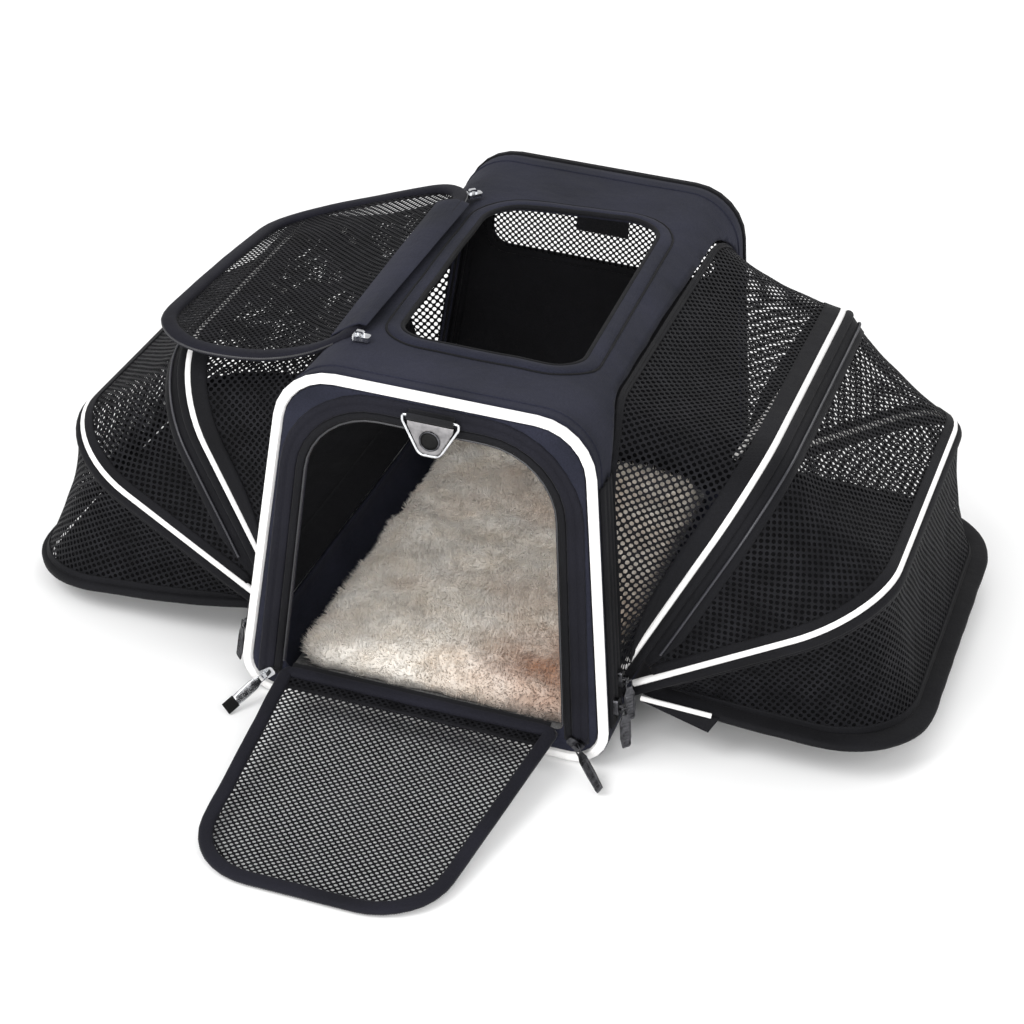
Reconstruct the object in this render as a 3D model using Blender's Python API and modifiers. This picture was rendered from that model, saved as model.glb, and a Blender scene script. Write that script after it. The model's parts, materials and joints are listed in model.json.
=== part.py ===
"""Expandable pet carrier bag: a soft body with a fold-down front door, a top lid and two fan wings.

Metres, +Z up. The front door faces -Y and the wings open towards +X and -X. The origin is the
centre of the bag's underside, on the floor.
"""

import bpy
import bmesh
import math
from mathutils import Matrix, Vector

# ---------------------------------------------------------------- driving dimensions

GAP = 0.0003                      # clearance kept between touching pieces

BODY_TOP = 0.282                  # height of the virtual top line of the cross-section
SIDE_AT_FLOOR = 0.148             # half width of the cross-section at floor level
SIDE_TAPER = 0.1107               # loss of half width per metre of height
TOP_RADIUS = 0.047
FOOT_RADIUS = 0.028
SKIN_INSET = 0.002                # outer surface of the shell, inside the virtual outline
SKIN = 0.004                      # thickness of the padded shell
SKIN_END = 0.2085                 # the shell runs from -SKIN_END to SKIN_END
TRAY_WALL_TOP = 0.026

PIPING_R = 0.0040                 # piping round the end panels
PIPING_INSET = 0.0045
PIPING_Y = 0.2130
PIPING_LIFT = 0.0048              # lowest run of the end piping, its centre above the floor

END_PANEL = 0.0045                # thickness of the end panels
END_PANEL_Y = 0.21275             # middle of the end panels
END_PANEL_INSET = 0.0088
FRAME_WIRE_R = 0.0015
FRAME_WIRE_Y = 0.2045
FRAME_WIRE_INSET = 0.0095

BOARD_SIZE = (0.228, 0.390, 0.0040)
PAD_SIZE = (0.240, 0.388, 0.0230)

DOOR_SILL = 0.0245                # height of the doorway's lower edge
DOOR_HALF = 0.110                 # half width of the doorway at the sill
DOOR_TAPER = 0.088
DOOR_TOP = 0.252
DOOR_CORNER = 0.055
DOOR_CLEARANCE = 0.0055           # doorway edge to the middle of the door's rim
DOOR_RIM_R = 0.0030
DOOR_MESH = 0.0010
DOOR_AXIS = (0.0, -0.2175, DOOR_SILL)
DOOR_INSET = 0.0047               # door's middle plane behind the hinge axis when shut
DOOR_OPEN = 96.5                  # degrees from shut to rest

FRONT_TAPE = (0.0020, 0.0200)     # inner and outer edge of the zip tape from the doorway's edge
FRONT_TAPE_THICK = 0.0015
TAPE_FOOT = 0.020

WINDOW = (0.100, 0.192, 0.252)    # half width, lower and upper edge of the back window
WINDOW_RADIUS = 0.018
BACK_TAB = (0.045, 0.034, 0.0016)

TOP_OPENING = ((-0.062, -0.136), (0.084, -0.136), (0.076, 0.138), (-0.070, 0.116))
TOP_OPENING_RADIUS = 0.030
TOP_BINDING_R = 0.0019
LID_AXIS = (-0.083, 0.0, 0.2848)
LID_Y = (-0.148, 0.130)           # front and back edge at the hinge
LID_SKEW = 0.014                  # how much further back the lid reaches at its free edge
LID_DEPTH = 0.172
LID_CORNER = 0.045                # free corners
LID_HINGE_CORNER = (0.010, 0.040)    # front and back corner by the hinge
LID_RIM_R = 0.0035
LID_OPEN = 193.5                  # degrees from shut to rest

SIDE_OPENING = ((-0.175, 0.0), (0.200, 0.262))
SIDE_OPENING_RADIUS = 0.060
SIDE_BINDING_R = 0.0019
SIDE_TAPE_Y = (-0.204, -0.178)
SIDE_TAPE_Z = (0.030, 0.228)
SIDE_TAPE_THICK = 0.0015

WING_AXIS_X = 0.134
WING_AXIS_Z = 0.031
HOOP_SLEEVE_R = 0.0030
HOOP_PIPING_R = 0.0026
HOOP_PIPING_LIFT = 0.0060         # piping's middle above the sleeve's middle
INNER_HOOP = (-0.1575, 0.1835, 0.2190)    # front leg, back leg, reach
OUTER_HOOP = (-0.1645, 0.1905, 0.2215)
WING_FLOOR = (-0.1650, 0.2080, 0.2100)    # front edge, back edge, reach from its own hinge
HOOP_CORNER = 0.068
HOOP_FOOT = 0.008                 # legs stop short of the axis
INNER_HOOP_ANGLE = {1: 65.0, -1: 62.5}    # degrees above level at rest: right, left
OUTER_HOOP_ANGLE = {1: 30.5, -1: 31.0}
WING_FLOOR_ANGLE = {1: -2.0, -1: -5.0}
WING_HINGE_X = 0.1500             # the floor panel's own hinge, outside the side seam
WING_HINGE_Z = 0.0352
WING_FLOOR_THICK = 0.0030
WING_FLOOR_FOOT = 0.004
WING_RIM_R = 0.0035
WING_PIPING_R = 0.0023
WING_PIPING_RUN = (0.006, 0.060)  # reach of the short piping on the right floor's front edge
GORE_THICK = 0.0010

SLIDER = (0.0085, 0.0130, 0.0036)         # width, length along the zip, height
BRIDGE = (0.0030, 0.0068, 0.0034)         # slider's loop: width, length, height
BRIDGE_HOLE = (0.0030, 0.0020)            # along the zip, and above the slider's face
PULL_AXIS_LIFT = 0.0011                   # pull's hinge above the slider's face
PULL = (0.0090, 0.0013)            # width and thickness
FRONT_PULL_LENGTH = 0.040
WING_PULL_LENGTH = 0.034
FRONT_SLIDER_Z = 0.0205
FRONT_SLIDERS = ((-1, "front_left", "chrome", 1.20, 55.0),     # side, name, metal, lean of the parked
                 (1, "front_right", "gunmetal", 1.87, 40.0))   # slider (run over rise), pull's swing out
WING_SLIDERS = (("lower", -0.1975, 0.046), ("upper", -0.1845, 0.062))    # label, y, z
LID_SLIDERS = (("front", -0.077, -0.1535, 90.0),    # name, x, y, heading in degrees from +Y to +X
               ("back", -0.083, 0.1140, 45.0))

RING_TOP = 0.2655                 # height of the ring's hinge
RING_HALF = 0.0240
RING_DROP = 0.0300
RING_THICK = 0.0020
TAB_WIDTH = 0.034

# ---------------------------------------------------------------- materials

MATERIALS = {
    "navy_fabric": ((0.024, 0.026, 0.038), 0.75, 0.0),
    "black_fabric": ((0.010, 0.010, 0.012), 0.80, 0.0),
    "black_netting": ((0.014, 0.014, 0.016), 0.70, 0.0),
    "white_piping": ((0.82, 0.81, 0.79), 0.50, 0.0),
    "cream_fleece": ((0.66, 0.55, 0.43), 0.95, 0.0),
    "zip_tape": ((0.008, 0.008, 0.009), 0.65, 0.0),
    "spring_steel": ((0.45, 0.46, 0.48), 0.35, 1.0),
    "chrome": ((0.60, 0.61, 0.63), 0.22, 1.0),
    "gunmetal": ((0.16, 0.16, 0.17), 0.30, 1.0),
    "grey_board": ((0.20, 0.20, 0.21), 0.70, 0.0),
}


def make_material(name):
    """A Principled material of the given name, made once."""
    found = bpy.data.materials.get(name)
    if found:
        return found
    colour, roughness, metallic = MATERIALS[name]
    material = bpy.data.materials.new(name)
    material.use_nodes = True
    shader = material.node_tree.nodes["Principled BSDF"]
    shader.inputs["Base Color"].default_value = (*colour, 1.0)
    shader.inputs["Roughness"].default_value = roughness
    shader.inputs["Metallic"].default_value = metallic
    material.diffuse_color = (*colour, 1.0)
    return material


# ---------------------------------------------------------------- scene and helpers

for old in list(bpy.data.objects):
    bpy.data.objects.remove(old, do_unlink=True)

PARTS = bpy.data.collections.new("pet_carrier_bag")
CUTTERS = bpy.data.collections.new("pet_carrier_bag_cutters")
bpy.context.scene.collection.children.link(PARTS)
bpy.context.scene.collection.children.link(CUTTERS)

UPRIGHT = (math.radians(90), 0.0, 0.0)               # a flat outline stands in the XZ plane
SIDEWAYS = (math.radians(90), 0.0, math.radians(90))  # a flat outline stands in the YZ plane


def axis_empty(name, location, rotation=(0.0, 0.0, 0.0)):
    """An empty on a joint's axis that carries the pieces of one moving body."""
    empty = bpy.data.objects.new(name, None)
    empty.empty_display_size = 0.03
    empty.location = location
    empty.rotation_euler = rotation
    PARTS.objects.link(empty)
    return empty


def finish(mesh, name, material, parent=None, location=(0, 0, 0), rotation=(0, 0, 0), smooth=False):
    """Make an object from a mesh, weld it, turn its faces outward and place it."""
    body = bmesh.new()
    body.from_mesh(mesh)
    bmesh.ops.remove_doubles(body, verts=body.verts, dist=0.00001)
    bmesh.ops.recalc_face_normals(body, faces=body.faces)
    body.to_mesh(mesh)
    body.free()
    mesh.materials.clear()
    mesh.materials.append(make_material(material))
    if smooth:
        mesh.shade_smooth()
    thing = bpy.data.objects.new(name, mesh)
    PARTS.objects.link(thing)
    thing.location = location
    thing.rotation_euler = rotation
    if parent:
        thing.parent = parent
    return thing


def curve_to_mesh(data, name):
    """Turn curve data into a plain mesh and drop the curve."""
    holder = bpy.data.objects.new(name + "_curve", data)
    PARTS.objects.link(holder)
    bpy.context.view_layer.update()
    mesh = bpy.data.meshes.new_from_object(holder.evaluated_get(bpy.context.evaluated_depsgraph_get()))
    mesh.name = name
    bpy.data.objects.remove(holder, do_unlink=True)
    bpy.data.curves.remove(data)
    return mesh


def plate(name, loops, thickness, material, parent=None, location=(0, 0, 0), rotation=(0, 0, 0)):
    """A flat plate from closed outlines, the outer one first and its holes after."""
    data = bpy.data.curves.new(name, "CURVE")
    data.dimensions = "2D"
    data.fill_mode = "BOTH"
    data.extrude = thickness / 2
    for loop in loops:
        spline = data.splines.new("POLY")
        spline.points.add(len(loop) - 1)
        for point, (u, v) in zip(spline.points, loop):
            point.co = (u, v, 0.0, 1.0)
        spline.use_cyclic_u = True
    return finish(curve_to_mesh(data, name), name, material, parent, location, rotation)


def tube(name, points, radius, material, closed=False, sides=1, parent=None, location=(0, 0, 0)):
    """A round cord along a list of points."""
    data = bpy.data.curves.new(name, "CURVE")
    data.dimensions = "3D"
    data.bevel_depth = radius
    data.bevel_resolution = sides
    data.use_fill_caps = not closed
    data.twist_mode = "MINIMUM"
    spline = data.splines.new("POLY")
    spline.points.add(len(points) - 1)
    for point, co in zip(spline.points, points):
        point.co = (*co, 1.0)
    spline.use_cyclic_u = closed
    return finish(curve_to_mesh(data, name), name, material, parent, location, smooth=True)


def block(name, size, material, parent=None, location=(0, 0, 0), rotation=(0, 0, 0), bevel=0.0):
    """A box centred on its origin, with softened edges where asked."""
    body = bmesh.new()
    bmesh.ops.create_cube(body, size=1.0)
    bmesh.ops.scale(body, vec=size, verts=body.verts)
    mesh = bpy.data.meshes.new(name)
    body.to_mesh(mesh)
    body.free()
    thing = finish(mesh, name, material, parent, location, rotation)
    if bevel:
        soften(thing, bevel)
    return thing


def soften(thing, width, segments=1):
    """Bevel the sharp edges of a piece."""
    bevel = thing.modifiers.new("soften", "BEVEL")
    bevel.width = width
    bevel.segments = segments
    bevel.limit_method = "ANGLE"
    bevel.angle_limit = math.radians(40)


def cut(thing, cutter):
    """Take a cutter's shape out of a piece."""
    boolean = thing.modifiers.new("cut_" + cutter.name, "BOOLEAN")
    boolean.operation = "DIFFERENCE"
    boolean.solver = "EXACT"
    boolean.object = cutter
    if cutter.name not in CUTTERS.objects:
        PARTS.objects.unlink(cutter)
        CUTTERS.objects.link(cutter)
    cutter.hide_render = True
    cutter.display_type = "WIRE"


def rounded(corners, radii, steps=6):
    """A closed outline through the corners, each replaced by an arc of its radius."""
    outline = []
    for index, corner in enumerate(corners):
        here = Vector(corner)
        before = (Vector(corners[index - 1]) - here).normalized()
        after = (Vector(corners[(index + 1) % len(corners)]) - here).normalized()
        radius = radii[index]
        if radius <= 0:
            outline.append(tuple(here))
            continue
        half = math.acos(max(-1.0, min(1.0, before.dot(after)))) / 2
        centre = here + (before + after).normalized() * (radius / math.sin(half))
        start = here + before * (radius / math.tan(half)) - centre
        end = here + after * (radius / math.tan(half)) - centre
        sweep = math.acos(max(-1.0, min(1.0, start.dot(end) / radius ** 2)))
        for step in range(steps + 1):
            t = step / steps
            arc = (start * math.sin((1 - t) * sweep) + end * math.sin(t * sweep)) / math.sin(sweep)
            outline.append(tuple(centre + arc))
    return outline


# ---------------------------------------------------------------- shapes that several pieces share

SLANT = math.sqrt(1.0 + SIDE_TAPER ** 2)


def side_x(z, inset):
    """Half width of the cross-section's straight side at a height."""
    return SIDE_AT_FLOOR - SIDE_TAPER * z - SLANT * inset


def section(inset, foot=None, steps=6):
    """The bag's rounded cross-section, as a closed outline of (x, z) points."""
    low = -SKIN_INSET + inset if foot is None else foot
    high = BODY_TOP - inset
    corners = [(-side_x(low, inset), low), (side_x(low, inset), low),
               (side_x(high, inset), high), (-side_x(high, inset), high)]
    foot_radius = FOOT_RADIUS - inset
    top_radius = TOP_RADIUS - inset
    return rounded(corners, [foot_radius, foot_radius, top_radius, top_radius], steps)


def doorway(outset, foot, foot_radius=0.006, steps=6):
    """The doorway's outline, moved outward by outset, with its lower edge at foot."""
    high = DOOR_TOP + outset
    low_half = DOOR_HALF + outset - DOOR_TAPER * (foot - DOOR_SILL)
    high_half = DOOR_HALF + outset - DOOR_TAPER * (high - DOOR_SILL)
    corners = [(-low_half, foot), (low_half, foot), (high_half, high), (-high_half, high)]
    radius = DOOR_CORNER + outset
    return rounded(corners, [foot_radius, foot_radius, radius, radius], steps)


def doorway_run(outset, foot):
    """The doorway's two sides and top as an open run, from the right foot to the left foot."""
    loop = doorway(outset, foot, foot_radius=0.0)
    return loop[1:] + loop[:1]


def arch(shape, foot, steps=7, shrink=0.0):
    """A hoop's U shape as (y, reach) points, from its front foot round to its back foot."""
    front, back, reach = shape[0] + shrink, shape[1] - shrink, shape[2] - shrink
    corner = HOOP_CORNER
    points = [(front, foot), (front, (foot + reach - corner) / 2)]
    for step in range(steps + 1):
        turn = math.radians(90) * step / steps
        points.append((front + corner * (1 - math.cos(turn)), reach - corner * (1 - math.sin(turn))))
    for step in range(steps + 1):
        turn = math.radians(90) * step / steps
        points.append((back - corner * (1 - math.sin(turn)), reach - corner * (1 - math.cos(turn))))
    points += [(back, (foot + reach - corner) / 2), (back, foot)]
    return points


# ---------------------------------------------------------------- body of the bag

def make_tray():
    """The fabric floor with its low side walls."""
    outer = section(SKIN_INSET)
    inner = section(SKIN_INSET + SKIN)
    tray = plate("bottom_tray", [outer, inner], 2 * SKIN_END, "navy_fabric", rotation=UPRIGHT)
    above = block("tray_trim", (0.5, 0.6, 0.5), "navy_fabric",
                  location=(0, 0, TRAY_WALL_TOP + 0.25))
    cut(tray, above)


def make_shell():
    """The fabric over the top and down the corner posts."""
    outer = section(SKIN_INSET)
    inner = section(SKIN_INSET + SKIN)
    shell = plate("top_shell", [outer, inner], 2 * SKIN_END, "navy_fabric", rotation=UPRIGHT)
    below = block("shell_trim", (0.5, 0.6, 0.2), "navy_fabric",
                  location=(0, 0, TRAY_WALL_TOP + GAP - 0.1))
    cut(shell, below)
    (y0, z0), (y1, z1) = SIDE_OPENING
    radius = SIDE_OPENING_RADIUS
    side = rounded([(y0, z0), (y1, z0), (y1, z1), (y0, z1)], [0, 0, radius, radius], 7)
    cut(shell, plate("side_opening_cutter", [side], 0.5, "navy_fabric", rotation=SIDEWAYS))
    top = plate("top_opening_cutter", [top_outline(0.0)], 0.1, "navy_fabric",
                location=(0, 0, BODY_TOP))
    cut(shell, top)


def top_outline(inset):
    """The top opening's outline as (x, y) points, moved inward by inset."""
    inward = ((1, 1), (-1, 1), (-1, -1), (1, -1))
    corners = [(x + inset * u, y + inset * v) for (x, y), (u, v) in zip(TOP_OPENING, inward)]
    return rounded(corners, [TOP_OPENING_RADIUS - inset] * 4, 5)


def shell_x(z):
    """Half width of the shell's middle surface at a height, over the rounded top corner too."""
    inset = SKIN_INSET + SKIN / 2
    radius = TOP_RADIUS - inset
    high = BODY_TOP - inset
    corner_x = side_x(high, inset)
    half = math.radians(90) / 2 + math.atan(SIDE_TAPER) / 2
    reach = radius / math.tan(half)
    centre_x = corner_x - reach
    centre_z = high - radius
    touch = centre_z + radius * math.sin(math.atan(SIDE_TAPER))
    if z <= touch:
        return side_x(z, inset)
    return centre_x + math.sqrt(max(0.0, radius ** 2 - (z - centre_z) ** 2))


def make_bindings():
    """The cord-like bindings round the top opening and the side arches."""
    inset = TOP_BINDING_R + GAP
    path = [(x, y, BODY_TOP - SKIN_INSET - SKIN / 2) for x, y in top_outline(inset)]
    tube("top_opening_binding", path, TOP_BINDING_R, "black_fabric", closed=True)
    (y0, z0), (y1, z1) = SIDE_OPENING
    inset = SIDE_BINDING_R + 2 * GAP
    radius = SIDE_OPENING_RADIUS - inset
    y0, y1, z1 = y0 + inset, y1 - inset, z1 - inset
    z0 = TRAY_WALL_TOP + GAP + 0.001
    corners = [(y0, z0), (y1, z0), (y1, z1), (y0, z1)]
    loop = rounded(corners, [0, 0, radius, radius], 7)
    run = loop[1:] + loop[:1]
    for side, word in ((1, "right"), (-1, "left")):
        path = [(side * shell_x(z), y, z) for y, z in run]
        tube(word + "_arch_binding", path, SIDE_BINDING_R, "black_fabric")


def make_floor():
    """The stiff base board and the pad on it."""
    board_z = SKIN + GAP + BOARD_SIZE[2] / 2
    corners = rectangle(BOARD_SIZE[0], BOARD_SIZE[1], 0.012, 3)
    plate("base_board", [corners], BOARD_SIZE[2], "grey_board", location=(0, 0, board_z))
    pad_z = board_z + BOARD_SIZE[2] / 2 + GAP + PAD_SIZE[2] / 2
    corners = rectangle(PAD_SIZE[0], PAD_SIZE[1], 0.028, 5)
    pad = plate("fleece_pad", [corners], PAD_SIZE[2], "cream_fleece", location=(0, 0, pad_z))
    soften(pad, 0.007, 2)


def rectangle(width, length, radius, steps):
    """A rounded rectangle centred on its origin."""
    x, y = width / 2, length / 2
    return rounded([(-x, -y), (x, -y), (x, y), (-x, y)], [radius] * 4, steps)


def make_ends():
    """The end panels, their piping, the wire loops, the back window and the front zip tape."""
    outline = section(END_PANEL_INSET, foot=PIPING_LIFT + PIPING_R + GAP)
    opening = doorway(0.0, DOOR_SILL)
    plate("front_panel", [outline, opening], END_PANEL, "navy_fabric",
          location=(0, -END_PANEL_Y, 0), rotation=UPRIGHT)
    half, low, high = WINDOW
    window = rounded([(-half, low), (half, low), (half, high), (-half, high)], [WINDOW_RADIUS] * 4, 5)
    plate("back_panel", [outline, window], END_PANEL, "navy_fabric",
          location=(0, END_PANEL_Y, 0), rotation=UPRIGHT)
    lap = 0.005
    netting = rounded([(-half - lap, low - lap), (half + lap, low - lap),
                       (half + lap, high + lap), (-half - lap, high + lap)], [WINDOW_RADIUS] * 4, 4)
    netting_y = END_PANEL_Y - END_PANEL / 2 - GAP - 0.0005
    plate("back_window_netting", [netting], 0.001, "black_netting",
          location=(0, netting_y, 0), rotation=UPRIGHT)
    tab_y = netting_y - 0.0005 - GAP - BACK_TAB[2] / 2
    block("back_tab", (BACK_TAB[0], BACK_TAB[2], BACK_TAB[1]), "black_fabric",
          location=(0, tab_y, high + lap - BACK_TAB[1] / 2), bevel=0.0004)
    loop = section(PIPING_INSET, foot=PIPING_LIFT)
    tube("front_piping", [(x, -PIPING_Y, z) for x, z in loop], PIPING_R, "white_piping", closed=True,
         sides=2)
    tube("back_binding", [(x, PIPING_Y, z) for x, z in loop], PIPING_R, "black_fabric", closed=True)
    loop = section(FRAME_WIRE_INSET, foot=SKIN + FRAME_WIRE_R + GAP)
    for word, y in (("front", -FRAME_WIRE_Y), ("back", FRAME_WIRE_Y)):
        tube(word + "_frame_wire", [(x, y, z) for x, z in loop], FRAME_WIRE_R, "spring_steel",
             closed=True)
    make_front_tape()


def make_front_tape():
    """The double zip tape on three sides of the doorway."""
    inner = doorway_run(FRONT_TAPE[0], TAPE_FOOT)
    outer = doorway_run(FRONT_TAPE[1], TAPE_FOOT)
    y = -END_PANEL_Y - END_PANEL / 2 - GAP - FRONT_TAPE_THICK / 2
    plate("front_zip_tape", [outer + inner[::-1]], FRONT_TAPE_THICK, "zip_tape", location=(0, y, 0),
          rotation=UPRIGHT)


def make_side_tapes():
    """The straight zip tape on each front post."""
    lean = math.atan(SIDE_TAPER)
    height = (SIDE_TAPE_Z[1] - SIDE_TAPE_Z[0]) * SLANT
    middle_z = (SIDE_TAPE_Z[0] + SIDE_TAPE_Z[1]) / 2
    middle_y = (SIDE_TAPE_Y[0] + SIDE_TAPE_Y[1]) / 2
    out = GAP + SIDE_TAPE_THICK / 2
    for side, word in ((1, "right"), (-1, "left")):
        x = side * (side_x(middle_z, SKIN_INSET) + out * SLANT)
        block(word + "_zip_tape", (SIDE_TAPE_THICK, SIDE_TAPE_Y[1] - SIDE_TAPE_Y[0], height),
              "zip_tape", location=(x, middle_y, middle_z), rotation=(0, -side * lean, 0))


# ---------------------------------------------------------------- ring on the front

def make_ring():
    """The webbing tab under the front piping and the metal triangle ring that swings in it."""
    wall = 0.0010
    bore = 0.0020
    tape_face = END_PANEL_Y + END_PANEL / 2 + GAP + FRONT_TAPE_THICK
    axis_y = -(tape_face + GAP + bore + wall)
    radius = bore + wall
    outline = [(radius * math.cos(math.radians(a)), radius * math.sin(math.radians(a)))
               for a in range(90, 361, 30)]
    outline = outline + [(radius, 0.0072), (radius - 0.0018, 0.0072), (radius - 0.0018, 0.0030)]
    channel = [(bore * math.cos(math.radians(a)), bore * math.sin(math.radians(a)))
               for a in range(0, 360, 30)]
    plate("ring_tab", [outline, channel], TAB_WIDTH, "black_fabric",
          location=(0, axis_y, RING_TOP), rotation=SIDEWAYS)
    hinge = axis_empty("triangle_ring_axis", (0, axis_y, RING_TOP))
    bar = 0.0012
    tip = -RING_DROP
    outer = rounded([(-RING_HALF, bar), (0.0, tip - 0.004), (RING_HALF, bar)], [0.0022, 0.0045, 0.0022], 4)
    slot = rounded([(-0.0208, -bar), (-0.0176, -0.0056), (0.0176, -0.0056), (0.0208, -bar)],
                   [0.0004, 0.0004, 0.0004, 0.0004], 1)
    hole = [(0.0046 * math.cos(math.radians(a)), -0.0158 + 0.0046 * math.sin(math.radians(a)))
            for a in range(0, 360, 24)]
    plate("triangle_ring", [outer, slot, hole], RING_THICK, "gunmetal", parent=hinge,
          rotation=UPRIGHT)


# ---------------------------------------------------------------- front door

def make_door():
    """The netting door in its round rim, hinged along the doorway's sill."""
    hinge = axis_empty("front_door_axis", DOOR_AXIS, (math.radians(DOOR_OPEN), 0, 0))
    foot = DOOR_SILL + DOOR_CLEARANCE
    loop = doorway(-DOOR_CLEARANCE, foot)
    path = [(x, DOOR_INSET, z - DOOR_AXIS[2]) for x, z in loop]
    tube("front_door_rim", path, DOOR_RIM_R, "black_fabric", closed=True, parent=hinge)
    inset = DOOR_CLEARANCE + DOOR_RIM_R + GAP
    loop = [(x, z - DOOR_AXIS[2]) for x, z in doorway(-inset, DOOR_SILL + inset)]
    plate("front_door_netting", [loop], DOOR_MESH, "black_netting", parent=hinge,
          location=(0, DOOR_INSET, 0), rotation=UPRIGHT)


# ---------------------------------------------------------------- top lid

def make_lid():
    """The netting lid in its round rim, hinged along the left side of the top opening."""
    hinge = axis_empty("top_lid_axis", LID_AXIS, (0, -math.radians(LID_OPEN), 0))
    y0, y1 = LID_Y
    x0, x1 = 0.001 + LID_RIM_R, LID_DEPTH - LID_RIM_R
    y0, y1 = y0 + LID_RIM_R, y1 - LID_RIM_R

    slope = LID_SKEW / (x1 - x0)

    def back_edge(x, inset):
        return y1 + slope * (x - x0) - inset * math.hypot(1.0, slope)

    def outline(inset, radius):
        near, far = x0 + inset, x1 - inset
        corners = [(near, y0 + inset), (far, y0 + inset),
                   (far, back_edge(far, inset)), (near, back_edge(near, inset))]
        front, back = LID_HINGE_CORNER
        return rounded(corners, [front, radius, radius, back - inset], 6)

    path = [(x, y, 0.0) for x, y in outline(0.0, LID_CORNER)]
    tube("top_lid_rim", path, LID_RIM_R, "black_fabric", closed=True, parent=hinge)
    inset = LID_RIM_R + GAP
    plate("top_lid_netting", [outline(inset, LID_CORNER - inset)], DOOR_MESH, "black_netting",
          parent=hinge)


# ---------------------------------------------------------------- side wings

def wing_point(side, hinge, angle, reach, rise):
    """A point (x, z) at a distance from a hinge (x, z) along an angle, and above that line."""
    turn = math.radians(angle)
    x = hinge[0] + reach * math.cos(turn) - rise * math.sin(turn)
    z = hinge[1] + reach * math.sin(turn) + rise * math.cos(turn)
    return side * x, z


def make_hoop(side, word, shape, angle, label):
    """One spring hoop in its sleeve, and the white piping sewn along it."""
    turn = -math.radians(angle) if side > 0 else math.radians(angle) + math.pi
    hinge = axis_empty(f"{word}_{label}_hoop_axis", (side * WING_AXIS_X, 0, WING_AXIS_Z), (0, turn, 0))
    lift = HOOP_PIPING_LIFT * side
    legs = arch(shape, HOOP_FOOT)
    tube(f"{word}_{label}_hoop", [(reach, y, 0.0) for y, reach in legs], HOOP_SLEEVE_R,
         "black_fabric", parent=hinge)
    tube(f"{word}_{label}_hoop_piping", [(reach, y, lift) for y, reach in arch(shape, 0.020)],
         HOOP_PIPING_R, "white_piping", parent=hinge)


def make_wing_floor(side, word):
    """The wing's outer panel, which lies on the floor when the wing is open."""
    angle = WING_FLOOR_ANGLE[side]
    turn = -math.radians(angle) if side > 0 else math.radians(angle) + math.pi
    hinge = axis_empty(f"{word}_wing_axis", (side * WING_HINGE_X, 0, WING_HINGE_Z), (0, turn, 0))
    rim = [(reach, y, 0.0) for y, reach in wing_outline(0.0)]
    tube(f"{word}_wing_rim", rim, WING_RIM_R, "black_fabric", closed=True, parent=hinge)
    inset = WING_RIM_R + GAP
    plate(f"{word}_wing_floor", [[(reach, y) for y, reach in wing_outline(inset)]],
          WING_FLOOR_THICK, "black_fabric", parent=hinge)
    if side > 0:
        front = WING_FLOOR[0] - WING_RIM_R - GAP - WING_PIPING_R
        tube("right_wing_piping", [(reach, front, 0.0) for reach in WING_PIPING_RUN], WING_PIPING_R,
             "white_piping", parent=hinge)


def wing_outline(inset):
    """The wing floor's closed outline as (y, reach) points, moved inward by inset."""
    legs = arch(WING_FLOOR, WING_FLOOR_FOOT + inset, shrink=inset)
    return legs


def make_gore(side, word, label, near, far):
    """A netting gore between two edges, each a list of points, with a real thickness."""
    rows = 3
    body = bmesh.new()
    grid = []
    for row in range(rows + 1):
        t = row / rows
        grid.append([body.verts.new(Vector(a).lerp(Vector(b), t)) for a, b in zip(near, far)])
    for low, high in zip(grid, grid[1:]):
        for i in range(len(low) - 1):
            body.faces.new((low[i], low[i + 1], high[i + 1], high[i]))
    name = f"{word}_{label}_gore"
    mesh = bpy.data.meshes.new(name)
    body.to_mesh(mesh)
    body.free()
    gore = finish(mesh, name, "black_netting", smooth=True)
    solid = gore.modifiers.new("thickness", "SOLIDIFY")
    solid.thickness = GORE_THICK
    solid.offset = 0.0


def gore_edge(side, shape, foot, angle, margin, hinge=(WING_AXIS_X, WING_AXIS_Z)):
    """One edge of a gore: an arch at an angle, moved off its hoop by a margin."""
    edge = []
    for y, reach in arch(shape, foot):
        x, z = wing_point(side, hinge, angle, reach, margin)
        edge.append((x, y, z))
    return edge


def make_wing(side, word):
    """One fan wing: two hoops, the floor panel and three netting gores."""
    inner_angle, outer_angle = INNER_HOOP_ANGLE[side], OUTER_HOOP_ANGLE[side]
    make_hoop(side, word, INNER_HOOP, inner_angle, "inner")
    make_hoop(side, word, OUTER_HOOP, outer_angle, "outer")
    make_wing_floor(side, word)
    over = HOOP_PIPING_LIFT + HOOP_PIPING_R + 0.0010
    under = -HOOP_SLEEVE_R - 0.0010
    mouth = (SIDE_OPENING[0][0] + 0.0065, SIDE_OPENING[1][0] - 0.0065, 0.2240)
    make_gore(side, word, "inner", gore_edge(side, mouth, 0.045, 94.5, -0.004),
              gore_edge(side, INNER_HOOP, 0.045, inner_angle, over))
    make_gore(side, word, "middle", gore_edge(side, INNER_HOOP, 0.038, inner_angle, under),
              gore_edge(side, OUTER_HOOP, 0.038, outer_angle, over))
    make_gore(side, word, "outer", gore_edge(side, OUTER_HOOP, 0.034, outer_angle, under),
              gore_edge(side, WING_FLOOR, 0.020, WING_FLOOR_ANGLE[side], WING_RIM_R + 0.0012,
                        (WING_HINGE_X, WING_HINGE_Z)))


# ---------------------------------------------------------------- zip sliders and pulls

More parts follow.
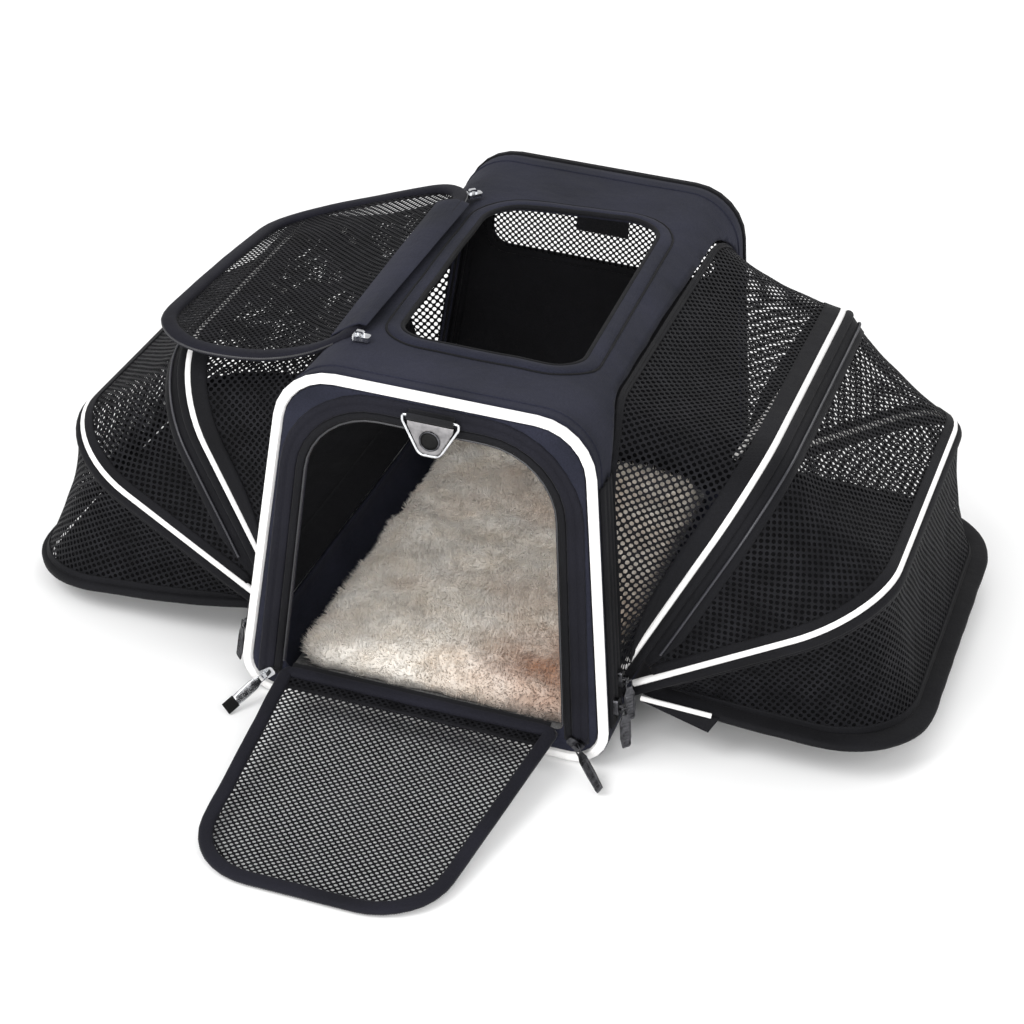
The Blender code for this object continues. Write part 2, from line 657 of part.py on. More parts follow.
def make_slider(name, place, material):
    """A zip slider. Its local X is across the zip, Y along it and Z out of the fabric."""
    width, length, height = SLIDER
    half_w, half_l = width / 2, length / 2
    outline = rounded([(-half_w, -half_l), (half_w, -half_l), (half_w * 0.8, half_l),
                       (-half_w * 0.8, half_l)], [0.0015, 0.0015, 0.0020, 0.0020], 2)
    slider = plate(name, [outline], height, material)
    slider.matrix_world = place @ Matrix.Translation((0, 0, height / 2))
    loop_y, loop_z = BRIDGE[1] / 2, BRIDGE[2]
    foot = -0.0010
    profile = [(-loop_y, foot), (loop_y, foot), (loop_y, loop_z - 0.001), (loop_y - 0.001, loop_z),
               (-loop_y + 0.001, loop_z), (-loop_y, loop_z - 0.001)]
    hole_y, hole_z = BRIDGE_HOLE
    hole = [(-hole_y / 2, 0.0), (hole_y / 2, 0.0), (hole_y / 2, hole_z), (-hole_y / 2, hole_z)]
    bridge = plate(name + "_bridge", [profile, hole], BRIDGE[0], material)
    turn = Matrix.Rotation(math.radians(90), 4, "Z") @ Matrix.Rotation(math.radians(90), 4, "X")
    bridge.matrix_world = place @ Matrix.Translation((0, -0.0015, height)) @ turn
    join = slider.modifiers.new("bridge", "BOOLEAN")
    join.operation = "UNION"
    join.solver = "EXACT"
    join.object = bridge
    PARTS.objects.unlink(bridge)
    CUTTERS.objects.link(bridge)
    bridge.hide_render = True
    bridge.display_type = "WIRE"
    return slider


def make_pull(name, hinge, material, length):
    """A pull tab on its hinge. It hangs along local -Y, with local Z out of the fabric."""
    width, thick = PULL
    bar = 0.0007
    window = (0.0022, 0.0062)
    half = width / 2
    outline = rounded([(-half * 0.85, bar), (-half, -length), (half, -length), (half * 0.85, bar)],
                      [0.0010, 0.0022, 0.0022, 0.0010], 3)
    slot = [(-window[0], -bar), (-window[0], -window[1]), (window[0], -window[1]), (window[0], -bar)]
    return plate(name, [outline, slot], thick, material, parent=hinge)


def make_zip_pull(name, origin, across, along, material, length, swing=0.0):
    """A slider with its pull at a point on a zip; the pull hangs against the zip's direction.

    It may be swung out from the fabric by an angle in degrees.
    """
    across = Vector(across).normalized()
    along = Vector(along).normalized()
    out = across.cross(along).normalized()
    turn = Matrix((across, along, out)).transposed().to_4x4()
    place = Matrix.Translation(origin) @ turn
    make_slider(name + "_slider", place, material)
    hinge = axis_empty(name + "_pull_axis", (0, 0, 0))
    lifted = place @ Matrix.Translation((0, -0.0015, SLIDER[2] + PULL_AXIS_LIFT))
    hinge.matrix_world = lifted @ Matrix.Rotation(-math.radians(swing), 4, "X")
    make_pull(name + "_pull", hinge, material, length)


def make_zips():
    """Every zip slider of the bag."""
    face = -(END_PANEL_Y + END_PANEL / 2 + 2 * GAP + FRONT_TAPE_THICK)
    foot = FRONT_SLIDER_Z
    track = DOOR_HALF + (FRONT_TAPE[0] + FRONT_TAPE[1]) / 2 - DOOR_TAPER * (foot - DOOR_SILL)
    for side, word, metal, lean, swing in FRONT_SLIDERS:
        along = Vector((-side * lean, 0, 1.0)).normalized()
        across = along.cross(Vector((0, -1, 0)))
        make_zip_pull(word, (side * track, face, foot), across, along, metal, FRONT_PULL_LENGTH, swing)
    for side, word in ((1, "right"), (-1, "left")):
        normal = Vector((side, 0, SIDE_TAPER)).normalized()
        up = Vector((-side * SIDE_TAPER, 0, 1.0)).normalized()
        across = up.cross(normal)
        for label, y, z in WING_SLIDERS:
            surface = Vector((side * side_x(z, SKIN_INSET), y, z))
            origin = surface + normal * (2 * GAP + SIDE_TAPE_THICK)
            make_zip_pull(f"{word}_wing_{label}", origin, across, up, "gunmetal", WING_PULL_LENGTH)
    lid_z = BODY_TOP - SKIN_INSET + GAP
    for word, x, y, heading in LID_SLIDERS:
        turn = Matrix.Rotation(math.radians(-heading), 4, "Z")
        place = Matrix.Translation((x, y, lid_z)) @ turn
        make_slider(f"lid_{word}_slider", place, "gunmetal")


make_tray()
make_shell()
make_bindings()
make_floor()
make_ends()
make_side_tapes()
make_ring()
make_door()
make_lid()
make_wing(1, "right")
make_wing(-1, "left")
make_zips()
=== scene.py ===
"""Looks of the expandable pet carrier bag: fabric, netting, fleece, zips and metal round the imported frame.

Metres, +Z up. Every piece takes its place from the frame: the boxes of the CAD nodes and the joints.
"""

import json
import math
import random

import bpy
import numpy as np
from mathutils import Matrix, Vector, noise


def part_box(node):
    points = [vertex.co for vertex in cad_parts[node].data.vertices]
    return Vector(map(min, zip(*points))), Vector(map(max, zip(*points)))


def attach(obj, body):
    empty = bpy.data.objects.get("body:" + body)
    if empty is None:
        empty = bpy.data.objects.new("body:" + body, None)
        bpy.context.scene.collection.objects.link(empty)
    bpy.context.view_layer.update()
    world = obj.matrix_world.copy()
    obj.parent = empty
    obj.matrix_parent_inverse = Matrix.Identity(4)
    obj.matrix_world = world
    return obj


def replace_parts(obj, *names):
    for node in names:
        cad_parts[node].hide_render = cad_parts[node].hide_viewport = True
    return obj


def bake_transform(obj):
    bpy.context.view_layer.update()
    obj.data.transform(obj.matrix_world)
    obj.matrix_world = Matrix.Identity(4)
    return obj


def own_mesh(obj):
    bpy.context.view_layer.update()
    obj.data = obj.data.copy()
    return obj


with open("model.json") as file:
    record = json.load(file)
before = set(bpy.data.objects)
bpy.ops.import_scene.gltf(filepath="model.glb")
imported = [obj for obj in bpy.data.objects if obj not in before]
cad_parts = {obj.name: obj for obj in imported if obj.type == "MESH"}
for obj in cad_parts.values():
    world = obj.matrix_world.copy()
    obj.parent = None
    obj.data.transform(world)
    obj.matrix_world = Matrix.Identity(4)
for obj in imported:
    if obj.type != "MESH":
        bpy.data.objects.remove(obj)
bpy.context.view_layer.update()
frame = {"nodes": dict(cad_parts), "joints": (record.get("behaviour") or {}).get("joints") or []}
JOINTS = {joint["name"]: joint for joint in frame["joints"]}
SIDES = (("right", 1), ("left", -1))

# ---------------------------------------------------------------- sizes of the sewn work

SIDE_TAPER = 0.1107               # loss of half width per metre of height, as the CAD's section
SLANT = math.sqrt(1 + SIDE_TAPER ** 2)
TOP_RADIUS = 0.045
FOOT_RADIUS = 0.026
SKIN = 0.0036
DOORWAY_HALF = 0.110              # half width of the doorway at its sill
DOORWAY_TAPER = 0.088             # loss of that half width per metre of height
DOORWAY_TOP = 0.252
DOORWAY_RADIUS = 0.055
WINDOW_RADIUS = 0.018
WINDOW_LAP = 0.005                # how far the window's net runs behind its panel
NET_MARGIN = 0.003                # how far that net shows past the cut edge of the panel

DOOR_PITCH = 0.0038               # netting: middle to middle of neighbouring holes
WING_PITCH = 0.0046
NET_HOLE = 0.36                   # hole radius over pitch
NET_SHARE = 1 - 8 * math.tan(math.radians(22.5)) * NET_HOLE ** 2   # cloth left round the holes
NET_THICK = 0.0006
PAD_HALF = 0.1215                 # the pad stays this near the middle, clear of the side walls
PILE_SEED = 12
TUFTS = 38000
CLOTH = 0.0012
TAPE = 0.0008
COVER_SAG = 0.0022                # how far the cover sinks halfway between the end panels
PANEL_EDGE = (0.0068, 0.0092)     # the end panels' inset from the section, and their foot's height
COIL_RADIUS = 0.0011
COIL_PITCH = 0.0018
COIL_PINCH = 0.35                 # how much thinner a zip coil is between its teeth

INNER_FOOT = 0.045                # how far up its two edges the inner gore starts
MIDDLE_FOOT = 0.038
HOOP_CORNER = 0.068
HOOP_RADIUS = 0.0030
RIM_RADIUS = 0.0035
FLOOR_BAND = {"right": 0.018, "left": 0.0085}   # width of the band round each wing's floor
DOOR_SHRINK = 0.975               # the sewn door is a little shorter than its doorway
LID_SKEW = 0.014                  # how much further back the lid reaches at its free edge
LID_CORNER = 0.045
PULL_STAND_OFF = 0.0028           # the wings' loose pulls hang this far off, half turned forward
LID_HINGE_CORNER = 0.040
LID_DIP = 0.021                   # the open lid's front edge hangs by this at its middle
LID_DROOP = 0.020                 # and its far back corner by this


# ---------------------------------------------------------------- materials

def add(tree, kind, inputs=(), **settings):
    """A shader node with its settings and inputs; an input is a value or another node's socket."""
    made = tree.nodes.new("ShaderNode" + kind)
    for key, value in settings.items():
        setattr(made, key, value)
    for key, value in dict(inputs).items():
        if isinstance(value, bpy.types.NodeSocket):
            tree.links.new(value, made.inputs[key])
        else:
            made.inputs[key].default_value = value
    return made


def start_material(name, **constants):
    """A material, its tree, its shader and the object coordinates that its patterns use."""
    material = bpy.data.materials.new(name)
    material.use_nodes = True
    tree = material.node_tree
    shader = tree.nodes["Principled BSDF"]
    for key, value in constants.items():
        shader.inputs[key.replace("_", " ")].default_value = value
    return material, tree, shader, add(tree, "TexCoord").outputs["Object"]


def speckle(tree, place, scale, detail=3.0, low=0.3, high=0.7):
    """Noise stretched to run from 0 to 1."""
    raw = add(tree, "TexNoise", {"Vector": place, "Scale": scale, "Detail": detail})
    return add(tree, "MapRange", {"Value": raw.outputs["Fac"], "From Min": low,
                                  "From Max": high}).outputs["Result"]


def mix(tree, amount, first, second):
    """A colour between two, by an amount."""
    made = add(tree, "Mix", data_type="RGBA")
    for index, value in ((0, amount), (6, first), (7, second)):
        if isinstance(value, bpy.types.NodeSocket):
            tree.links.new(value, made.inputs[index])
        else:
            made.inputs[index].default_value = value if index == 0 else (*value, 1)
    return made.outputs[2]


def weave_height(tree, place, period):
    """Threads along the three axes, so that any face shows two crossing sets."""
    total = None
    for direction in "XYZ":
        wave = add(tree, "TexWave", {"Vector": place, "Scale": 0.314 / period, "Distortion": 0.4,
                                     "Detail": 1.0}, bands_direction=direction)
        if total is None:
            total = wave.outputs["Fac"]
        else:
            total = add(tree, "Math", {0: total, 1: wave.outputs["Fac"]}).outputs[0]
    return total


def bump(tree, shader, heights):
    """Chained bumps; each height has its strength and its depth in metres."""
    normal = None
    for height, strength, depth in heights:
        made = add(tree, "Bump", {"Height": height, "Strength": strength, "Distance": depth})
        if normal:
            tree.links.new(normal, made.inputs["Normal"])
        normal = made.outputs["Normal"]
    tree.links.new(normal, shader.inputs["Normal"])


def make_fabric(name, dark, light, roughness=0.78, period=0.0011, sheen=0.03, creases=1.0):
    """Woven polyester: crossing threads, uneven dye, soft creases and a faint sheen."""
    material, tree, shader, place = start_material(
        name, Sheen_Weight=sheen, Sheen_Roughness=0.45, Specular_IOR_Level=0.12)
    threads = weave_height(tree, place, period)
    cloud = speckle(tree, place, 14.0)
    grain = speckle(tree, place, 900.0, 2.0)
    tint = mix(tree, cloud, dark, light)
    worn = add(tree, "HueSaturation", {"Color": tint, "Value": add(tree, "MapRange", {
        "Value": grain, "To Min": 0.8, "To Max": 1.2}).outputs["Result"]})
    tree.links.new(worn.outputs["Color"], shader.inputs["Base Color"])
    rough = add(tree, "MapRange", {"Value": cloud, "To Min": roughness - 0.07, "To Max": roughness + 0.07})
    tree.links.new(rough.outputs["Result"], shader.inputs["Roughness"])
    folds = speckle(tree, place, 28.0, 4.0, 0.2, 0.8)
    bump(tree, shader, [(folds, 0.35 * creases, 0.0035), (threads, 0.5, 0.00012),
                        (grain, 0.25, 0.0001)])
    return material


def make_net_yarn(name, dark, light):
    """Knitted polyester yarn: fine ribs, a dull shine and lighter worn places."""
    material, tree, shader, place = start_material(
        name, Roughness=0.62, Sheen_Weight=0.02, Sheen_Roughness=0.4, Specular_IOR_Level=0.10)
    tint = mix(tree, speckle(tree, place, 60.0), dark, light)
    tree.links.new(tint, shader.inputs["Base Color"])
    bump(tree, shader, [(weave_height(tree, place, 0.0006), 0.6, 0.00012)])
    return material


def make_piping(name):
    """White piping cord cover: fine ribs across, faint grey in the folds."""
    material, tree, shader, place = start_material(
        name, Roughness=0.45, Sheen_Weight=0.2, Specular_IOR_Level=0.4)
    tint = mix(tree, speckle(tree, place, 90.0), (0.80, 0.79, 0.78), (0.93, 0.92, 0.91))
    tree.links.new(tint, shader.inputs["Base Color"])
    bump(tree, shader, [(weave_height(tree, place, 0.0009), 0.35, 0.0001),
                        (speckle(tree, place, 130.0), 0.2, 0.0006)])
    return material


def make_metal(name, dark, light, roughness):
    """Plated metal with fine scratches and uneven polish."""
    material, tree, shader, place = start_material(name, Metallic=1.0)
    cloud = speckle(tree, place, 220.0, 4.0)
    tree.links.new(mix(tree, cloud, dark, light), shader.inputs["Base Color"])
    polish = add(tree, "MapRange", {"Value": cloud, "To Min": roughness, "To Max": roughness + 0.16})
    tree.links.new(polish.outputs["Result"], shader.inputs["Roughness"])
    stretch = add(tree, "Mapping", {"Vector": place, "Scale": (300.0, 2600.0, 900.0)})
    bump(tree, shader, [(speckle(tree, stretch.outputs["Vector"], 1.0), 0.12, 0.0001)])
    return material


def make_coil_plastic(name, colour):
    """The zip coil's glossy plastic."""
    material, tree, shader, place = start_material(name, Roughness=0.35, Specular_IOR_Level=0.5)
    tint = mix(tree, speckle(tree, place, 400.0), tuple(0.7 * c for c in colour), colour)
    tree.links.new(tint, shader.inputs["Base Color"])
    bump(tree, shader, [(speckle(tree, place, 1500.0), 0.3, 0.0001)])
    return material


def make_fleece(name):
    """Cream plush, matted in small clumps, with faint tan clouds and one soft brown patch."""
    material, tree, shader, place = start_material(
        name, Roughness=0.95, Sheen_Weight=0.5, Sheen_Roughness=0.55, Specular_IOR_Level=0.15)
    base = mix(tree, speckle(tree, place, 34.0, 4.0), (0.90, 0.81, 0.70), (0.98, 0.94, 0.88))
    clouds = speckle(tree, place, 11.0, 5.0, 0.48, 0.80)
    base = mix(tree, clouds, base, (0.74, 0.58, 0.46))
    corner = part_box("fleece_pad")
    spot = (corner[1].x - 0.035, corner[0].y + 0.045, corner[1].z)
    away = add(tree, "VectorMath", {0: place, 1: spot}, operation="DISTANCE").outputs["Value"]
    near = add(tree, "MapRange", {"Value": away, "From Min": 0.070, "From Max": 0.015}).outputs["Result"]
    broken = add(tree, "Math", {0: near, 1: speckle(tree, place, 26.0, 5.0, 0.1, 0.55)},
                 operation="MULTIPLY").outputs[0]
    base = mix(tree, broken, base, (0.42, 0.19, 0.09))
    tree.links.new(base, shader.inputs["Base Color"])
    bump(tree, shader, [(speckle(tree, place, 260.0, 4.0), 0.6, 0.0014),
                        (speckle(tree, place, 1400.0, 2.0), 0.4, 0.0004)])
    return material


def make_board(name):
    """Grey fibre board with pressed flecks."""
    material, tree, shader, place = start_material(name, Roughness=0.8)
    tint = mix(tree, speckle(tree, place, 500.0), (0.10, 0.10, 0.10), (0.24, 0.24, 0.24))
    tree.links.new(tint, shader.inputs["Base Color"])
    bump(tree, shader, [(speckle(tree, place, 700.0), 0.4, 0.0003)])
    return material


NAVY = make_fabric("navy_oxford", (0.009, 0.010, 0.017), (0.021, 0.022, 0.036))
BLACK = make_fabric("black_oxford", (0.004, 0.004, 0.005), (0.009, 0.009, 0.011))
LINING = make_fabric("black_lining", (0.003, 0.003, 0.004), (0.007, 0.007, 0.009), 0.85, 0.0009, 0.03)
WEBBING = make_fabric("black_webbing", (0.006, 0.006, 0.007), (0.015, 0.015, 0.018), 0.7, 0.0022, 0.10, 0.3)
INK = make_fabric("ink_oxford", (0.006, 0.006, 0.009), (0.012, 0.012, 0.018))
RUBBER = make_fabric("black_rubber", (0.004, 0.004, 0.004), (0.009, 0.009, 0.009), 0.5, 0.0008, 0.0, 0.2)
NET = make_net_yarn("black_net_yarn", (0.003, 0.003, 0.004), (0.009, 0.009, 0.011))
PIPING = make_piping("white_piping_cover")
CHROME = make_metal("chrome_plate", (0.55, 0.56, 0.58), (0.78, 0.79, 0.81), 0.12)
GUNMETAL = make_metal("gunmetal_plate", (0.035, 0.035, 0.038), (0.13, 0.13, 0.14), 0.24)
STEEL = make_metal("spring_steel_plate", (0.20, 0.195, 0.20), (0.34, 0.33, 0.335), 0.34)
COIL = make_coil_plastic("grey_coil", (0.035, 0.035, 0.042))
DARK_COIL = make_coil_plastic("black_coil", (0.030, 0.030, 0.034))
FLEECE = make_fleece("cream_fleece_pile")
BOARD = make_board("grey_fibre_board")


# ---------------------------------------------------------------- mesh helpers

def put(name, data):
    """A new object in the scene."""
    made = bpy.data.objects.new(name, data)
    bpy.context.scene.collection.objects.link(made)
    return made


def spots_of(piece):
    """The places of a piece's points."""
    return np.array([v.co[:] for v in piece.data.vertices])


def triangles_of(mesh):
    """The corners of every triangle of a mesh."""
    mesh.calc_loop_triangles()
    return np.array([[mesh.vertices[v].co[:] for v in t.vertices] for t in mesh.loop_triangles])


def settled(thing):
    """The mesh that an object shows, with its modifiers."""
    graph = bpy.context.evaluated_depsgraph_get()
    return bpy.data.meshes.new_from_object(thing.evaluated_get(graph))


def mesh_piece(name, points, faces, material, smooth=True):
    """An object from points and faces, given its material."""
    mesh = bpy.data.meshes.new(name)
    mesh.from_pydata(np.asarray(points).tolist(), [], np.asarray(faces, dtype=object).tolist()
                     if not isinstance(faces, list) else faces)
    mesh.materials.append(material)
    if smooth:
        mesh.shade_smooth()
    piece = put(name, mesh)
    return piece


def bake_modifiers(piece):
    """Apply a piece's modifiers to its mesh."""
    mesh = settled(piece)
    piece.modifiers.clear()
    piece.data = mesh
    return piece


def soften(piece, width, turn):
    """A fine bevel on the edges that turn by more than an angle in degrees."""
    bevel = piece.modifiers.new("soft_edge", "BEVEL")
    bevel.width = width
    bevel.segments = 2
    bevel.limit_method = "ANGLE"
    bevel.angle_limit = math.radians(turn)


def thicken(piece, thickness, round_edges=False):
    """Give a sheet its thickness, half to each side, with softened edges where asked."""
    solid = piece.modifiers.new("thickness", "SOLIDIFY")
    solid.thickness = thickness
    solid.offset = 0.0
    if round_edges:
        soften(piece, thickness * 0.3, 50)
    return bake_modifiers(piece)


def grid_faces(rows, columns, wrap_rows=False, wrap_columns=False):
    """Quads of a grid of points, closed on itself where asked."""
    row = np.arange(rows if wrap_rows else rows - 1)
    column = np.arange(columns if wrap_columns else columns - 1)
    r, c = (a.ravel() for a in np.meshgrid(row, column, indexing="ij"))
    after_r, after_c = (r + 1) % rows, (c + 1) % columns
    quads = [r * columns + c, after_r * columns + c, after_r * columns + after_c, r * columns + after_c]
    return np.stack(quads, axis=1)


def cloth(name, points, thickness, material, wrap=False, round_edges=False):
    """A sheet through a grid of points, with a real thickness."""
    rows, columns = points.shape[:2]
    piece = mesh_piece(name, points.reshape(-1, 3), grid_faces(rows, columns, wrap), material)
    return thicken(piece, thickness, round_edges)


def outline(corners, radii, closed=True, arc_steps=8, side_steps=12):
    """Points through the corners, each rounded by its radius, with evenly split sides."""
    corners = [Vector(corner) for corner in corners]
    count = len(corners)
    arcs = []
    for index, here in enumerate(corners):
        if not closed and index in (0, count - 1):
            arcs.append([here])
            continue
        before = (corners[index - 1] - here).normalized()
        after = (corners[(index + 1) % count] - here).normalized()
        half = before.angle(after) / 2
        radius = radii[index]
        centre = here + (before + after).normalized() * (radius / math.sin(half))
        start = here + before * (radius / math.tan(half)) - centre
        end = here + after * (radius / math.tan(half)) - centre
        sweep = start.angle(end)
        arcs.append([centre + (start * math.sin((1 - t) * sweep) + end * math.sin(t * sweep))
                     / math.sin(sweep) for t in np.linspace(0, 1, arc_steps + 1)])
    points = []
    for index, arc in enumerate(arcs):
        points += arc
        if closed or index < count - 1:
            target = arcs[(index + 1) % count][0]
            points += [arc[-1].lerp(target, t) for t in np.linspace(0, 1, side_steps + 2)[1:-1]]
    return np.array([tuple(point) for point in points])


def spaced(path, step, closed=False):
    """The same path with points evenly spaced, near a given step."""
    path = np.asarray(path, float)
    if closed:
        path = np.vstack([path, path[:1]])
    run = np.concatenate([[0], np.cumsum(np.linalg.norm(np.diff(path, axis=0), axis=1))])
    count = max(4, round(run[-1] / step))
    at = np.linspace(0, run[-1], count + 1)
    if closed:
        at = at[:-1]
    return np.stack([np.interp(at, run, path[:, k]) for k in range(path.shape[1])], axis=1)


def lift_flat(flat, origin, across, up, out=0.0):
    """Flat points placed in space: origin + u across + v up, and out along their normal."""
    across, up = np.array(across, float), np.array(up, float)
    normal = np.cross(across, up)
    return np.array(origin, float) + flat[:, :1] * across + flat[:, 1:2] * up + out * normal


def upright(flat, y, out=0.0):
    """Flat (x, z) points stood at a depth y; out moves them towards the front."""
    return np.stack([flat[:, 0], np.full(len(flat), y) - out, flat[:, 1]], axis=1)


def oval(width, height, count=12, square=1.0):
    """A closed cross-section, from an ellipse at square 1 towards a rounded bar above it."""
    turn = np.linspace(0, 2 * math.pi, count, endpoint=False)
    c, s = np.cos(turn), np.sin(turn)
    power = 1 / square
    return np.stack([width / 2 * np.sign(c) * np.abs(c) ** power,
                     height / 2 * np.sign(s) * np.abs(s) ** power], axis=1)


def sweep(name, path, normal, section, material, closed=False, wobble=0.0):
    """A solid along a path that lies near one plane; the section is (across, along the normal)."""
    path = np.asarray(path, float)
    normal = np.array(normal, float) / np.linalg.norm(normal)
    if closed:
        along = np.roll(path, -1, 0) - np.roll(path, 1, 0)
    else:
        along = np.gradient(path, axis=0)
    along /= np.linalg.norm(along, axis=1)[:, None]
    across = np.cross(along, normal)
    across /= np.linalg.norm(across, axis=1)[:, None]
    if wobble:
        shift = np.array([noise.noise(Vector(point) * 45) for point in path]) * wobble
        path = path + across * shift[:, None]
    rings = (path[:, None] + across[:, None] * section[None, :, :1] + normal * section[None, :, 1:2])
    return loft(name, rings, material, closed)


def loft(name, rings, material, closed=False):
    """A solid through a row of rings, capped at both ends or closed on itself."""
    count, around = rings.shape[:2]
    faces = grid_faces(count, around, closed, True).tolist()
    if not closed:
        last = (count - 1) * around
        faces.append(list(range(around)))
        faces.append([last + k for k in reversed(range(around))])
    return outward(mesh_piece(name, rings.reshape(-1, 3), faces, material))


def outward(piece):
    """Turn a closed mesh's faces outward."""
    corners = triangles_of(piece.data)
    volume = np.einsum("ij,ij->i", corners[:, 0], np.cross(corners[:, 1], corners[:, 2])).sum()
    if volume < 0:
        piece.data.flip_normals()
    return piece


def cord_tube(name, path, radius, material, closed=False, beads=0.0):
    """A round cord along a path; beads above 0 pinch every other point, as a zip coil does."""
    data = bpy.data.curves.new(name, "CURVE")
    data.dimensions = "3D"
    data.bevel_depth = radius
    data.bevel_resolution = 2
    data.use_fill_caps = not closed
    spline = data.splines.new("POLY")
    spline.points.add(len(path) - 1)
    for index, (point, co) in enumerate(zip(spline.points, np.asarray(path).tolist())):
        point.co = (*co, 1.0)
        point.radius = 1.0 - beads * (index % 2)
    spline.use_cyclic_u = closed
    holder = put(name + "_curve", data)
    bpy.context.view_layer.update()
    mesh = settled(holder)
    bpy.data.objects.remove(holder, do_unlink=True)
    mesh.materials.clear()
    mesh.materials.append(material)
    mesh.shade_smooth()
    piece = put(name, mesh)
    return piece


def coil(name, path):
    """A zip coil: a cord pinched at every tooth."""
    return cord_tube(name, spaced(path, COIL_PITCH / 2), COIL_RADIUS, DARK_COIL, beads=COIL_PINCH)


def ripple(points, scale, seed=0.0):
    """Smooth noise from -1 to 1 at each point."""
    return np.array([noise.noise(Vector(point) * scale + Vector((seed, 0, 0))) for point in points])


def lattice(low, high, pitch, keep):
    """Flat diamond cells with an eight-sided hole each: points, and faces as index lists."""
    half = pitch / math.sqrt(2)
    rows = np.arange(math.floor(low[1] / half), math.ceil(high[1] / half) + 1)
    columns = np.arange(math.floor(low[0] / half), math.ceil(high[0] / half) + 1)
    c, r = (a.ravel() for a in np.meshgrid(columns, rows))
    on = (c + r) % 2 == 0
    centres = np.stack([c[on], r[on]], axis=1) * half
    centres = centres[keep(centres)]
    corner_turn = np.radians(np.arange(4) * 90)
    hole_turn = np.radians(22.5 + np.arange(8) * 45)
    corner = half * np.stack([np.cos(corner_turn), np.sin(corner_turn)], axis=1)
    hole = NET_HOLE * pitch / math.cos(math.radians(22.5)) * np.stack(
        [np.cos(hole_turn), np.sin(hole_turn)], axis=1)
    flat = (centres[:, None] + np.concatenate([corner, hole])[None]).reshape(-1, 2)
    key = np.round(flat / (pitch * 0.01)).astype(np.int64)
    _, first, index = np.unique(key, axis=0, return_index=True, return_inverse=True)
    index = index.reshape(-1, 12)
    faces = []
    for k in range(4):
        faces.append(index[:, [k, 4 + 2 * k, 4 + (2 * k - 1) % 8]])
    quads = [index[:, [k, (k + 1) % 4, 5 + 2 * k, 4 + 2 * k]] for k in range(4)]
    return flat[first], np.concatenate(faces).tolist() + np.concatenate(quads).tolist()


def netting(name, low, high, pitch, keep, place, blend_at=None):
    """A netting sheet: the flat lattice carried into space by place()."""
    flat, faces = lattice(low, high, pitch, keep)
    piece = mesh_piece(name, place(flat), faces, NET, smooth=False)
    if blend_at is not None:
        mark(piece, blend_at(flat))
    return thicken(piece, NET_THICK)


def net_area(loop):
    """A net's flat area of cloth: its outline's area less the holes."""
    after = np.roll(loop, -1, 0)
    return abs((loop[:, 0] * after[:, 1] - after[:, 0] * loop[:, 1]).sum()) / 2 * NET_SHARE


def inside(loop):
    """A test for flat points that lie inside a closed outline."""
    loop = np.asarray(loop)
    after = np.roll(loop, -1, 0)

    def test(points):
        x, y = points[:, :1], points[:, 1:2]
        crosses = (loop[:, 1] > y) != (after[:, 1] > y)
        rise = np.where(after[:, 1] == loop[:, 1], 1e-12, after[:, 1] - loop[:, 1])
        at = loop[:, 0] + (y - loop[:, 1]) / rise * (after[:, 0] - loop[:, 0])
        return (crosses & (x < at)).sum(axis=1) % 2 == 1
    return test


def mark(piece, values):
    """Keep a number on every point of a piece, through the modifiers that follow."""
    attribute = piece.data.attributes.new("fan", "FLOAT", "POINT")
    attribute.data.foreach_set("value", np.asarray(values, np.float32))


# ---------------------------------------------------------------- camera, light and floor

def make_stage():
    """Camera at the photograph's angle, soft studio light and a plain pale floor."""
    scene = bpy.context.scene
    camera = put("camera", bpy.data.cameras.new("camera"))
    camera.data.lens = 96.0
    camera.data.sensor_width = 36.0
    yaw, pitch, roll = math.radians(16.534), math.radians(30.919), math.radians(3.322)
    back = Vector((math.sin(yaw) * math.cos(pitch), -math.cos(yaw) * math.cos(pitch), math.sin(pitch)))
    level = back.cross(Vector((0, 0, 1))).normalized() * -1
    raised = back.cross(level)
    right = level * math.cos(roll) + raised * math.sin(roll)
    up = raised * math.cos(roll) - level * math.sin(roll)
    turn = Matrix((right, up, back)).transposed().to_4x4()
    camera.matrix_world = Matrix.Translation((0.5308, -1.7960, 1.1897)) @ turn
    scene.camera = camera
    scene.view_settings.view_transform = "Standard"

    world = bpy.data.worlds.new("studio")
    world.use_nodes = True
    world.node_tree.nodes["Background"].inputs["Color"].default_value = (1.0, 1.0, 1.0, 1.0)
    world.node_tree.nodes["Background"].inputs["Strength"].default_value = 0.72
    scene.world = world
    lights = (("key", (-1.3, -1.6, 2.4), 1.6, 42.0), ("fill", (2.2, -1.2, 1.6), 2.0, 22.0),
              ("back", (0.4, 2.2, 2.2), 2.0, 30.0), ("low", (0.15, -2.2, 0.75), 1.0, 26.0))
    for name, place, size, power in lights:
        data = bpy.data.lights.new(name, "AREA")
        data.size = size
        data.energy = power
        lamp = put(name, data)
        lamp.location = place
        lamp.rotation_mode = "QUATERNION"
        lamp.rotation_quaternion = (Vector((0, 0, 0.12)) - Vector(place)).to_track_quat("-Z", "Y")

    mesh = bpy.data.meshes.new("floor")
    reach = 15.0
    mesh.from_pydata([(-reach, -reach, 0), (reach, -reach, 0), (reach, reach, 0), (-reach, reach, 0)],
                     [], [(0, 1, 2, 3)])
    material, _, shader, _ = start_material("floor_paper", Roughness=0.9, Specular_IOR_Level=0.2)
    shader.inputs["Base Color"].default_value = (0.92, 0.92, 0.92, 1.0)
    mesh.materials.append(material)
    put("floor", mesh)


make_stage()


# ---------------------------------------------------------------- body of the bag

